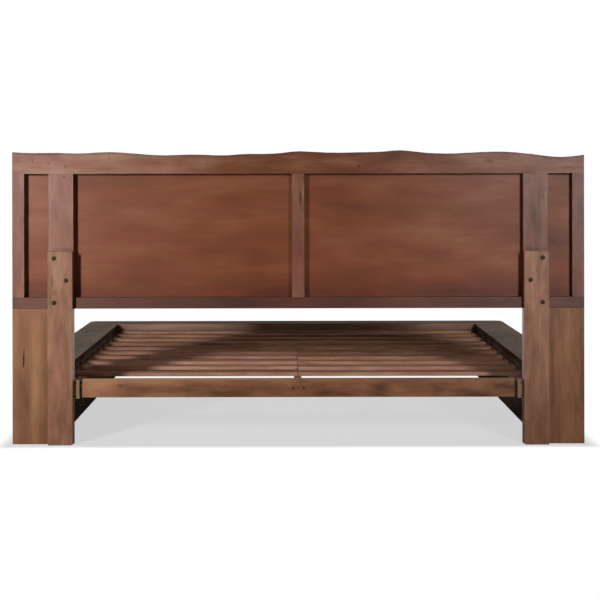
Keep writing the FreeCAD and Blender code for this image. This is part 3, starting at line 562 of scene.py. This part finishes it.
def divide(piece, axis, step):
    """Cuts a block into equal lengths along an axis, in two passes, so that waves can bend it."""
    places = [corner.co[axis] for corner in piece.data.vertices]
    count = round((max(places) - min(places)) / step)
    first = max(1, math.isqrt(max(count, 1)))
    for share in (first, round(count / first)):
        if share > 1:
            pick(piece, "edges", lambda edge: runs_along(edge, axis))
            bpy.ops.mesh.subdivide(number_cuts=share - 1)
            leave_edit()


def bevel(piece, width, segments=3, test=is_sharp):
    pick(piece, "edges", test)
    bpy.ops.mesh.bevel(offset=width, offset_type="OFFSET", segments=segments, affect="EDGES", clamp_overlap=True)
    leave_edit()


def extrude(piece, test, move):
    pick(piece, "faces", test)
    bpy.ops.mesh.extrude_region_move(TRANSFORM_OT_translate={"value": move})
    leave_edit()


def slice_at(piece, point, normal, clear=False):
    """Cuts a piece along a plane, and where asked takes off what lies beyond it."""
    edit_all(piece)
    bpy.ops.mesh.bisect(plane_co=point, plane_no=normal, use_fill=clear, clear_outer=clear)
    leave_edit()


def apply_modifier(piece, kind, **settings):
    activate(piece)
    modifier = piece.modifiers.new(kind.lower(), kind)
    for name, value in settings.items():
        setattr(modifier, name, value)
    bpy.ops.object.modifier_apply(modifier=modifier.name)


def clouds(name, size):
    texture = bpy.data.textures.get(name) or bpy.data.textures.new(name, "CLOUDS")
    texture.noise_scale = size
    return texture


def merged_copy(node, name):
    """A copy of a node's mesh whose loose triangles are merged into whole flat faces."""
    piece = bpy.data.objects.new(name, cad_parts[node].data.copy())
    bpy.context.scene.collection.objects.link(piece)
    edit_all(piece)
    bpy.ops.mesh.remove_doubles(threshold=0.02 * MM)
    bpy.ops.mesh.dissolve_limited(angle_limit=math.radians(1))
    leave_edit()
    bpy.ops.mesh.customdata_custom_splitnormals_clear()
    return piece


def bodies_of(node):
    """The corners of each separate body in a node."""
    edit_all(merged_copy(node, "bodies"))
    bpy.ops.mesh.separate(type="LOOSE")
    leave_edit()
    found = []
    for part in list(bpy.context.selected_objects):
        found.append([corner.co.copy() for corner in part.data.vertices])
        bpy.data.objects.remove(part)
    return sorted(found, key=lambda corners: tuple(round(value, 4) for value in sum(corners, Vector()) / len(corners)))


def span_of(corners):
    """The lowest and highest corner of a body."""
    return Vector([min(values) for values in zip(*corners)]), Vector([max(values) for values in zip(*corners)])


def fastener_places(node):
    """Where each fastener's head is, and which way its shank points: the head is its wider end."""
    places = []
    for corners in bodies_of(node):
        low, high = span_of(corners)
        middle = (low + high) / 2
        axis = max(range(3), key=lambda number: (high - low)[number])
        across = (axis + 1) % 3
        ends = []
        for end in (low[axis], high[axis]):
            reach = [abs(corner[across] - middle[across]) for corner in corners if abs(corner[axis] - end) < NEAR]
            ends.append((max(reach), end))
        head = middle.copy()
        head[axis] = max(ends)[1]
        direction = Vector()
        direction[axis] = 1.0 if head[axis] == low[axis] else -1.0
        places.append((head, direction))
    return places


def copy_of(piece, name, move, direction=None, spin=0.0):
    """A copy with its own mesh, turned so that its Z axis points in a direction, and moved in its mesh."""
    twin = piece.copy()
    twin.data = piece.data.copy()
    bpy.context.scene.collection.objects.link(twin)
    activate(twin)
    if direction:
        aimed = Vector(direction).to_track_quat("Z", "Y")
        twin.rotation_euler = (aimed @ Quaternion((0.0, 0.0, 1.0), spin)).to_euler()
    twin.location = move
    return settled(name)


def joined(name, pieces):
    deselect_all()
    for piece in pieces:
        piece.select_set(True)
    bpy.context.view_layer.objects.active = pieces[0]
    bpy.ops.object.join()
    bpy.context.object.name = name
    return bpy.context.object


def carve(piece, cutter):
    """Takes a cutter's shape out of a piece and throws the cutter away."""
    apply_modifier(piece, "BOOLEAN", object=cutter, operation="DIFFERENCE", solver="EXACT")
    bpy.data.objects.remove(cutter)


def turned(name, profile, sides):
    """A turned piece: its (radius, height) steps are drawn point by point and spun round the Z axis."""
    deselect_all()
    bpy.ops.mesh.primitive_plane_add(size=MM)
    piece = bpy.context.object
    piece.name = name
    bpy.ops.object.mode_set(mode="EDIT")
    bpy.ops.mesh.select_mode(type="VERT")
    bpy.ops.mesh.select_all(action="SELECT")
    bpy.ops.mesh.merge(type="CENTER")
    place = Vector()
    for number, (radius, height) in enumerate(profile):
        step = Vector((radius, 0.0, height)) - place
        if number:
            bpy.ops.mesh.extrude_region_move(TRANSFORM_OT_translate={"value": step})
        else:
            bpy.ops.transform.translate(value=step)
        place += step
    bpy.ops.mesh.select_all(action="SELECT")
    bpy.ops.mesh.spin(steps=sides, angle=math.tau, center=(0.0, 0.0, 0.0), axis=(0.0, 0.0, 1.0))
    bpy.ops.mesh.select_all(action="SELECT")
    bpy.ops.mesh.remove_doubles(threshold=0.01 * MM)
    bpy.ops.mesh.normals_make_consistent(inside=False)
    leave_edit()
    return piece


def sink_screws(board, places):
    """Opens the pockets of the screws whose heads lie just under a board's faces."""
    low, high = span_of([corner.co for corner in board.data.vertices])
    depth = sizes().screw_recess
    cutters = []
    for head, direction in places:
        mouth = head - direction * depth
        axis = max(range(3), key=lambda place: abs(direction[place]))
        face = low[axis] if direction[axis] > 0 else high[axis]
        others = [place for place in range(3) if place != axis]
        if abs(mouth[axis] - face) < 0.5 * MM and all(low[place] < head[place] < high[place] for place in others):
            aimed = direction.to_track_quat("Z", "Y").to_euler()
            cutters.append(start_cylinder("pocket", sizes().screw_head + 0.3 * MM, 4 * depth, mouth, aimed))
    if cutters:
        carve(board, joined("pockets", cutters))


def finish_piece(piece, material, node, waves=True):
    """Planing waves, smooth shading and the finish; the piece joins the body's root, and the node that it stands in
    for is hidden.
    """
    if waves:
        apply_modifier(piece, "DISPLACE", texture=clouds("planing_waves", sizes().plane_wave_length),
                       strength=sizes().plane_wave, mid_level=0.5)
    activate(piece)
    bpy.ops.object.shade_smooth_by_angle(angle=SMOOTH_ANGLE)
    apply_modifier(piece, "WEIGHTED_NORMAL", keep_sharp=True)
    piece.data.materials.clear()
    piece.data.materials.append(MATERIALS[material])
    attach(piece, "root")
    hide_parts(node)
    return piece


def board_between(name, low, high, edge=None):
    """A planed board between two corners, with soft edges."""
    board = start_box(name, low, high)
    for axis in range(3):
        if high[axis] - low[axis] > 2 * BOARD_STEP:
            divide(board, axis, BOARD_STEP)
    bevel(board, edge or sizes().board_edge)
    return board


def plain_board(name, node, material, edge=None, screws=()):
    """A finished board in a node's place, with the pockets of the screws that start in it."""
    board = board_between(name, *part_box(node), edge)
    sink_screws(board, screws)
    return finish_piece(board, material, node)


def eased_piece(name, node, edge, material):
    """The node's own shape, with the small rounded edges that it has in the hand."""
    piece = merged_copy(node, name)
    bevel(piece, edge, 2)
    return finish_piece(piece, material, node, waves=False)


# The pieces


class BED_OT_headboard_frame(bpy.types.Operator):
    """Bottom rail and stiles of the headboard's frame"""

    bl_idname = "bed.headboard_frame"
    bl_label = "Headboard Frame"

    def execute(self, context):
        plain_board("headboard_sill", "headboard_bottom_rail", "sill", sizes().frame_edge)
        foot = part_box("headboard_bottom_rail")[1].z
        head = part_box("headboard_top_rail")[0].z
        for stile in ("centre_stile", "inner_stile_right", "inner_stile_left", "outer_stile_right",
                      "outer_stile_left"):
            node = "headboard_" + stile
            low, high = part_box(node)
            low.z, high.z = foot, head
            # The outer stiles are flush with the rails, so no line shows at the corners
            edge = sizes().frame_edge * (0.4 if "outer" in stile else 1.0)
            finish_piece(board_between(node + "_board", low, high, edge), "stile", node)
        return {"FINISHED"}


def bark_along_top(board, node, band):
    """Weights for the bark band: full on top, none a band and a half below the trunk's line."""
    low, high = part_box(node)
    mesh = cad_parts[node].data
    trunk = BVHTree.FromPolygons([corner.co for corner in mesh.vertices], [face.vertices for face in mesh.polygons])
    group = board.vertex_groups.new(name="bark")
    mask = board.data.attributes.new("bark_mask", "FLOAT", "POINT")
    for number, corner in enumerate(board.data.vertices):
        above = [min(max(corner.co[axis], low[axis] + MM), high[axis] - MM) for axis in (0, 1)]
        top = trunk.ray_cast(Vector((*above, high.z + 1.0)), Vector((0.0, 0.0, -1.0)))[0]
        weight = min(1.0, max(0.0, 1 - (top.z - corner.co.z) / (1.5 * band)))
        group.add([number], weight, "REPLACE")
        mask.data[number].value = 0.6 * weight ** 3


def live_board(name, node, depth, shares):
    """A board whose top follows the trunk: its top is laid on the node's, and its bark side is bumpy."""
    band = sizes().bark_band
    low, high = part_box(node)
    board = start_box(name, low, high)
    divide(board, 0, sizes().live_step)
    for share in shares:
        slice_at(board, (0.0, low.y + share * (high.y - low.y), 0.0), (0.0, 1.0, 0.0))
    for fall in (0.35, 0.7):
        slice_at(board, (0.0, 0.0, high.z - fall * (high.z - low.z)), (0.0, 0.0, 1.0))
    # The node's top is lowered by the band, which is then drawn up again from it. It is made a little
    # wider, so that the board's outermost corners find it too
    top = merged_copy(node, "live_top")
    middle = (low + high) / 2
    top.scale = (1.002, 1.04, 1.0)
    top.location = (-0.002 * middle.x, -0.04 * middle.y, -band)
    group = board.vertex_groups.new(name="live_edge")
    group.add([corner.index for corner in board.data.vertices if corner.co.z > high.z - MM], 1.0, "REPLACE")
    apply_modifier(board, "SHRINKWRAP", target=top, vertex_group="live_edge", wrap_method="PROJECT",
                   use_project_z=True, use_negative_direction=True, use_positive_direction=False)
    bpy.data.objects.remove(top)
    extrude(board, lambda face: face.normal.z > 0.3, (0.0, 0.0, band))
    bevel(board, sizes().frame_edge, test=lambda edge: is_sharp(edge) and not lies_at(edge, 2, low.z))
    bark_along_top(board, node, band)
    apply_modifier(board, "DISPLACE", texture=clouds("bark_bumps", sizes().bark_bump), strength=depth,
                   mid_level=0.5, vertex_group="bark")
    return board


class BED_OT_live_edge(bpy.types.Operator):
    """Top rail and top plank with the natural edge of the trunk"""

    bl_idname = "bed.live_edge"
    bl_label = "Live Edge"

    def execute(self, context):
        for name, node, depth, shares, material in (
                ("headboard_live_rail", "headboard_top_rail", 0.5, (0.1, 0.5), "live_rail"),
                ("headboard_live_plank", "headboard_plank_4", 1.0, (0.35, 0.65, 0.85), "live_panel")):
            board = live_board(name, node, depth * sizes().bark_depth, shares)
            finish_piece(board, material, node)
        return {"FINISHED"}


class BED_OT_planks(bpy.types.Operator):
    """Tongued and grooved planks of the headboard"""

    bl_idname = "bed.planks"
    bl_label = "Planks"

    def execute(self, context):
        for number in (1, 2, 3):
            node = f"headboard_plank_{number}"
            low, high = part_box(node)
            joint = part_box(f"headboard_plank_{number + 1}")[0].z
            plank = start_box(f"headboard_board_{number}", low, (high.x, high.y, joint))
            divide(plank, 0, BOARD_STEP)
            # The tongue is the middle third of the top edge, drawn up, and the groove is pushed in below
            third = (high.y - low.y) / 3
            for place in (low.y + third, high.y - third):
                slice_at(plank, (0.0, place, 0.0), (0.0, 1.0, 0.0))
            middle_y = (low.y + high.y) / 2
            for place in (joint,) if number == 1 else (joint, low.z):
                extrude(plank, lambda face: lies_at(face, 2, place)
                        and abs(face.calc_center_median().y - middle_y) < MM, (0.0, 0.0, high.z - joint))
            bevel(plank, sizes().plank_bevel, 1,
                  lambda edge: lies_at(edge, 1, high.y) and is_sharp(edge) and runs_along(edge, 0))
            finish_piece(plank, "panel", node)
        return {"FINISHED"}


def open_crack(board):
    """A drying crack in the left leg board: a thin wedge down to the small hole where it stopped."""
    low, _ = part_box("leg_board_left")
    size = sizes().crack_length
    half_wide, half_deep, hole, lean = 2 * MM, 6 * MM, 4.2 * MM, -4 * MM
    top = Vector((low.x + 47 * MM, low.y, 385 * MM))
    foot = top + Vector((lean, 0.0, -size))
    wedge = start_box("crack", foot - Vector((half_wide, half_deep, 0.0)), foot + Vector((half_wide, half_deep, size)))
    pick(wedge, "faces", lambda face: face.normal.z > 0.9)
    bpy.ops.transform.resize(value=(0.25, 1.0, 1.0), center_override=foot + Vector((0.0, 0.0, size)))
    bpy.ops.transform.translate(value=(top.x - foot.x, 0.0, 0.0))
    leave_edit()
    carve(board, wedge)
    carve(board, start_cylinder("crack_end", hole, 10 * MM, foot, (RIGHT_ANGLE, 0.0, 0.0), 24))


class BED_OT_legs(bpy.types.Operator):
    """Leg boards under the headboard, the left one with its drying crack, and the bolted posts"""

    bl_idname = "bed.legs"
    bl_label = "Legs"

    def execute(self, context):
        places = fastener_places("frame_screws")
        for side, hand in SIDES:
            node = "leg_board_" + side
            board = board_between(node + "_staves", *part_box(node))
            sink_screws(board, places)
            if side == "left":
                open_crack(board)
            finish_piece(board, "leg_board", node)
            node = "post_" + side
            low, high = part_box(node)
            inner_x = low.x if hand > 0 else high.x
            post = start_box(node + "_timber", low, high)
            # The inner bottom corner is worn round from being dragged over floors
            bevel(post, sizes().foot_round, 4, lambda edge: runs_along(edge, 1) and lies_at(edge, 2, low.z)
                  and lies_at(edge, 0, inner_x))
            divide(post, 2, BOARD_STEP)
            bevel(post, sizes().board_edge)
            finish_piece(post, "post", node)
        return {"FINISHED"}


class BED_OT_stretcher(bpy.types.Operator):
    """Stretcher between the legs, its brackets, slotted plates and hook plates"""

    bl_idname = "bed.stretcher"
    bl_label = "Stretcher"

    def execute(self, context):
        plain_board("stretcher_rail", "stretcher", "stretcher", screws=fastener_places("frame_screws"))
        for side, _ in SIDES:
            eased_piece("bracket_" + side, "bracket_block_" + side, sizes().fine_edge, "post")
        eased_piece("slotted_plates", "leg_slot_plates", sizes().metal_edge, "tan")
        eased_piece("hook_plates", "stretcher_hook_plates", sizes().metal_edge, "bronze")
        return {"FINISHED"}


class BED_OT_box_rails(bpy.types.Operator):
    """Box rails round the deck: mitred caps, rounded corners, outer and inner boards"""

    bl_idname = "bed.box_rails"
    bl_label = "Box Rails"

    def execute(self, context):
        low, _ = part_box("side_cap_left")
        _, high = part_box("side_cap_right")
        inner_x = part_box("side_cap_right")[0].x
        foot_low, foot_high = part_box("foot_cap")
        high.y = foot_high.y
        inner_y = foot_low.y
        radius = sizes().corner_round
        # All three caps are cut from one rounded outline, so that their mitres meet
        for name, node, side in (("cap_right", "side_cap_right", 1), ("cap_left", "side_cap_left", -1),
                                 ("cap_foot", "foot_cap", 0)):
            cap = start_box(name, (inner_x if side > 0 else -high.x, low.y if side else inner_y, low.z),
                            (-inner_x if side < 0 else high.x, high.y, high.z))
            bevel(cap, radius, 12, lambda edge: is_outer_corner(edge, high.x, high.y))
            for hand in (1, -1):
                if side in (0, hand):
                    away = Vector((-hand, 1.0, 0.0)) if side else Vector((hand, -1.0, 0.0))
                    slice_at(cap, (hand * inner_x, inner_y, 0.0), away.normalized(), clear=True)
            divide(cap, 1 if side else 0, BOARD_STEP)
            bevel(cap, sizes().cap_edge, 4, lambda edge: is_sharp(edge) and lies_at(edge, 2, high.z)
                  and not is_mitre(edge, inner_x, inner_y))
            bevel(cap, sizes().mitre_edge, 1, lambda edge: is_sharp(edge) and is_mitre(edge, inner_x, inner_y))
            finish_piece(cap, "side_cap" if side else "foot_cap", node)
            # Where a cap turns in to the deck it takes another finish: the raw insides, whose dark tone is painted
            # shade, at the sides, and the foot rail's brown at the foot
            cap.data.materials.append(MATERIALS["side_inner" if side else "foot_board"])
            for face in cap.data.polygons:
                inwards = -side * face.normal.x if side else -face.normal.y
                face.material_index = int(inwards > 0.7 and face.center.z < high.z - sizes().cap_edge)
        for side, _ in SIDES:
            node = "corner_post_" + side
            post_low, post_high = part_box(node)
            post = start_box(node + "_round", post_low, post_high)
            bevel(post, radius - 0.05 * MM, 12, lambda edge: is_outer_corner(edge, high.x, post_high.y))
            bevel(post, sizes().mitre_edge, 1)
            finish_piece(post, "corner", node, waves=False)
            for part, material in (("outer", "side_board"), ("inner", "side_inner")):
                plain_board(f"side_{part}_{side}", f"side_{part}_board_{side}", material)
            plain_board("end_" + side, "end_block_" + side, "hidden")
        for part in ("outer", "inner"):
            plain_board("foot_" + part, f"foot_{part}_board", "foot_board")
        eased_piece("ribs", "box_ribs", sizes().fine_edge, "hidden")
        return {"FINISHED"}


class BED_OT_deck(bpy.types.Operator):
    """Slats, ledgers, centre beam, cradles, leg and glide"""

    bl_idname = "bed.deck"
    bl_label = "Slatted Deck"

    def execute(self, context):
        places = fastener_places("frame_screws")
        first = None
        for number in range(1, 12):
            node = f"slat_row_{number:02d}"
            halves = []
            for corners in bodies_of(node):
                low, high = span_of(corners)
                if first is None:
                    first = board_between("slat", low, high, sizes().slat_edge)
                    origin = low
                halves.append(copy_of(first, "slat_half", low - origin))
            finish_piece(joined(node + "_slats", halves), "slat", node)
        bpy.data.objects.remove(first)
        for side, _ in SIDES:
            plain_board("ledger_strip_" + side, "ledger_" + side, "hidden", screws=places)
        for name, node in (("beam", "centre_beam"), ("cradle_at_head", "beam_cradle_head"),
                           ("cradle_at_foot", "beam_cradle_foot"), ("support_leg", "centre_leg")):
            eased_piece(name, node, sizes().fine_edge, "hidden")
        low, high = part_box("centre_glide")
        radius, height = (high.x - low.x) / 2, high.z - low.z
        outline = ((0.0, 0.0), (0.8, 0.0), (0.95, 0.14), (1.0, 0.36), (1.0, 0.8), (0.94, 1.0), (0.0, 1.0))
        glide = turned("glide", [(radius * wide, height * tall) for wide, tall in outline], 32)
        disc = copy_of(glide, "centre_glide_disc", (0.0, (low.y + high.y) / 2, low.z))
        bpy.data.objects.remove(glide)
        finish_piece(disc, "glide", "centre_glide", waves=False)
        return {"FINISHED"}


def wood_screw(radius, shank, long):
    """A countersunk wood screw with a cross recess, its head's face at the origin and its shank upwards."""
    rim = 0.3 * MM
    outline = [(0.0, 0.0), (radius - rim, 0.0), (radius, rim), (shank, radius - shank), (shank, 0.4 * long)]
    # The thread is drawn as rings, three times as coarse as it is
    core, rings = 0.7 * shank, 8
    for number in range(rings):
        height = (0.4 + 0.5 * number / rings) * long
        outline += [(shank, height), (core, height + 0.02 * long)]
    outline += [(core, 0.9 * long), (0.0, long)]
    screw = turned("wood_screw", outline, 20)
    reach, half, deep = 0.55 * radius, 0.1 * radius, 0.45 * radius
    for wide, tall in ((reach, half), (half, reach)):
        carve(screw, start_box("cross", (-wide, -tall, -MM), (wide, tall, deep)))
    return screw


def button_bolt(radius, height, shank, long):
    """A button-head bolt with a hexagon socket, its dome at the origin and its shank upwards."""
    dome = ((0.0, 0.0), (0.45, 0.0), (0.62, 0.05), (0.8, 0.2), (0.93, 0.45), (1.0, 0.75), (1.0, 1.0))
    outline = [(wide * radius, tall * height) for wide, tall in dome]
    outline += [(shank, height), (shank, long - MM), (shank - MM, long), (0.0, long)]
    bolt = turned("button_bolt", outline, 36)
    socket = sizes().socket_width / math.sqrt(3)
    carve(bolt, start_cylinder("socket", socket, 1.2 * height, (0.0, 0.0, 0.0), sides=6))
    return bolt


def driven(name, node, model, material):
    """Puts a copy of a modelled fastener where each of a node's fasteners is, each turned as it stopped."""
    copies = [copy_of(model, name, head, direction, spin=STOP_TURN * number)
              for number, (head, direction) in enumerate(fastener_places(node))]
    bpy.data.objects.remove(model)
    return finish_piece(joined(name, copies), material, node, waves=False)


def long_of(node):
    """The length of the fasteners in a node."""
    low, high = span_of(bodies_of(node)[0])
    return max(high - low)


class BED_OT_fasteners(bpy.types.Operator):
    """Post bolts with hexagon sockets, wood screws with cross recesses, and the hidden fixings"""

    bl_idname = "bed.fasteners"
    bl_label = "Fasteners"

    def execute(self, context):
        bolt = button_bolt(sizes().bolt_radius, sizes().bolt_height, BOLT_SHANK, long_of("post_bolts"))
        driven("post_bolts_driven", "post_bolts", bolt, "bronze")
        for node, head, shank, material in (
                ("frame_screws", sizes().screw_head, SCREW_SHANK, "zinc"),
                ("plate_screws", PLATE_SCREW_HEAD, PLATE_SCREW_SHANK, "bronze")):
            driven(node + "_driven", node, wood_screw(head, shank, long_of(node)), material)
        # Fixings that stay inside the wood keep the frame's shapes
        for node, material in (("bed_bolts", "zinc"), ("bolt_inserts", "zinc"), ("headboard_dowels", "hidden"),
                               ("mitre_splines", "hidden")):
            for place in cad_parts[node].material_slots:
                place.material = MATERIALS[material]
        return {"FINISHED"}


def studio_share(tree):
    """How far a ray sees the white studio: in full from the camera and through glass, in part in a gloss."""
    rays = add(tree, "LightPath").outputs
    seen = add(tree, "Math", {0: rays["Is Camera Ray"], 1: rays["Is Transmission Ray"]}, operation="MAXIMUM")
    # The satin lacquer mirrors a dim room behind the white sweep, so a gloss sees little of it
    return add(tree, "Math", {0: rays["Is Glossy Ray"], 1: GLOSS_SHARE, 2: seen}, operation="MULTIPLY_ADD",
               use_clamp=True)


def floor_material():
    """Matt white painted floor: the sweep's own white, and near the bed its real shadow in part, with a painted shadow
    under the bed and painted light under its foot end.
    """
    material, tree, place = new_material("plaster_painted_matt_white")
    axes = add(tree, "SeparateXYZ", {0: place}).outputs
    reach = []
    for axis in (0, 1):
        away = add(tree, "Math", {0: axes[axis]}, operation="ABSOLUTE")
        reach.append(add(tree, "Math", {0: away, 1: CAD_BOX[1][axis]}, operation="SUBTRACT"))
    away = add(tree, "Math", {0: reach[0], 1: reach[1]}, operation="MAXIMUM")
    open_floor = add(tree, "MapRange", {"Value": away, "From Max": 0.07}, interpolation_type="SMOOTHSTEP")
    # Painted light: the floor grows paler under the foot end
    painted_foot_light = add(tree, "MapRange", {"Value": axes[1], "From Min": 0.4, "From Max": 0.9, "To Max": 0.8},
                   interpolation_type="SMOOTHSTEP")
    white = add(tree, "Math", {0: open_floor, 1: painted_foot_light}, operation="MAXIMUM")
    share = add(tree, "MapRange", {"Value": white, "To Min": 0.84})
    share = add(tree, "Math", {0: share, 1: studio_share(tree)}, operation="MULTIPLY")
    # Under and near the bed the glow is dimmer: a painted shadow
    shade = add(tree, "MapRange", {"Value": white, "To Min": 0.71})
    grain = add(tree, "TexNoise", {"Vector": place, "Scale": 1 / (4 * MM)})
    relief = add(tree, "Bump", {"Height": grain, "Strength": 0.1, "Distance": 0.1 * MM})
    paint = add(tree, "BsdfDiffuse", {0: colours().floor, 1: 0.5, "Normal": relief})
    glow = add(tree, "Emission", {0: WHITE, 1: shade})
    mixed = add(tree, "MixShader", {0: share, 1: paint, 2: glow})
    add(tree, "OutputMaterial", {0: mixed})
    return material


def soft_lamp(name, place, target, size, power, spread):
    """A softbox of a width and height, whose grid holds its light within an angle."""
    deselect_all()
    aimed = (Vector(target) - Vector(place)).to_track_quat("-Z", "Y").to_euler()
    bpy.ops.object.light_add(type="AREA", location=place, rotation=aimed)
    lamp = bpy.context.object
    lamp.name = name
    lamp.data.shape = "RECTANGLE"
    lamp.data.size, lamp.data.size_y = size
    lamp.data.energy = power
    lamp.data.spread = math.radians(spread)
    lamp.visible_camera = False


class BED_OT_stage(bpy.types.Operator):
    """Pale floor, soft lamps, world and the photograph's camera"""

    bl_idname = "bed.stage"
    bl_label = "Stage"

    def execute(self, context):
        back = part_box("headboard_bottom_rail")[0].y
        deselect_all()
        bpy.ops.mesh.primitive_plane_add(size=FLOOR_SIZE)
        floor = bpy.context.object
        floor.name = "studio_floor"
        floor.data.materials.append(floor_material())

        world = bpy.data.worlds.new("studio")
        bpy.context.scene.world = world
        world.use_nodes = True
        tree = world.node_tree
        tree.nodes.clear()
        seen = add(tree, "Mix", {0: studio_share(tree), 6: [ROOM_LIGHT] * 3 + [1.0], 7: WHITE}, data_type="RGBA")
        sky = add(tree, "Background", {0: seen.outputs[2], 1: 1})
        add(tree, "OutputWorld", {0: sky})

        # Two softboxes behind the headboard, each on its own half, as in the photograph, and two weak
        # ones before the foot
        for name, hand, across, power, deck_power in HALF_LAMPS:
            soft_lamp("softbox_back_" + name, (across * hand, back - 4.5, 1.9), (0.93 * hand, back, 0.75),
                      size=(0.5, 1.1), power=power, spread=34.0)
            soft_lamp("softbox_front_" + name, (3.6 * hand, back + 6.2, 0.75), (0.0, back + 1.0, 0.6),
                      size=(1.6, 1.0), power=62.0, spread=100.0)
            # A narrow one over the deck brings out the foot rail's end
            soft_lamp("softbox_deck_" + name, (1.6 * hand, back + 0.6, 0.8), (0.7 * hand, back + 2.165, 0.25),
                      size=(0.2, 0.2), power=deck_power, spread=22.0)

        bpy.ops.object.camera_add(location=(CAMERA_X, back - CAMERA_BACK, CAMERA_UP),
                                  rotation=(RIGHT_ANGLE, CAMERA_ROLL, 0.0))
        camera = bpy.context.object
        camera.name = "photo_camera"
        camera.data.sensor_width = SENSOR_MM
        camera.data.lens = SENSOR_MM * FOCAL_PX / PICTURE_PX
        camera.data.shift_x = 0.5 - SIGHT_X_PX / PICTURE_PX
        camera.data.shift_y = SIGHT_Y_PX / PICTURE_PX - 0.5
        bpy.context.scene.camera = camera
        bpy.context.scene.view_settings.view_transform = "Standard"
        return {"FINISHED"}


class BED_PT_panel(bpy.types.Panel):
    """The bed's sizes, colours and pieces"""

    bl_idname = "BED_PT_panel"
    bl_label = "Platform Bed"
    bl_space_type = "VIEW_3D"
    bl_region_type = "UI"
    bl_category = "Platform Bed"

    def draw(self, context):
        for settings in (sizes(), colours()):
            column = self.layout.column(align=True)
            for name in settings.__annotations__:
                column.prop(settings, name)
        for step in STEPS:
            self.layout.operator(step.bl_idname)


STEPS = (BED_OT_finishes, BED_OT_headboard_frame, BED_OT_live_edge, BED_OT_planks, BED_OT_legs, BED_OT_stretcher,
         BED_OT_box_rails, BED_OT_deck, BED_OT_fasteners, BED_OT_stage)
CLASSES = (BedSizes, BedColours) + STEPS + (BED_PT_panel,)


def register():
    for made in CLASSES:
        bpy.utils.register_class(made)
    bpy.types.Scene.bed_sizes = bpy.props.PointerProperty(type=BedSizes)
    bpy.types.Scene.bed_colours = bpy.props.PointerProperty(type=BedColours)


def unregister():
    del bpy.types.Scene.bed_sizes
    del bpy.types.Scene.bed_colours
    for made in reversed(CLASSES):
        bpy.utils.unregister_class(made)


def main():
    register()
    bpy.ops.bed.finishes()
    bpy.ops.bed.headboard_frame()
    bpy.ops.bed.live_edge()
    bpy.ops.bed.planks()
    bpy.ops.bed.legs()
    bpy.ops.bed.stretcher()
    bpy.ops.bed.box_rails()
    bpy.ops.bed.deck()
    bpy.ops.bed.fasteners()
    bpy.ops.bed.stage()


if __name__ == "__main__":
    main()
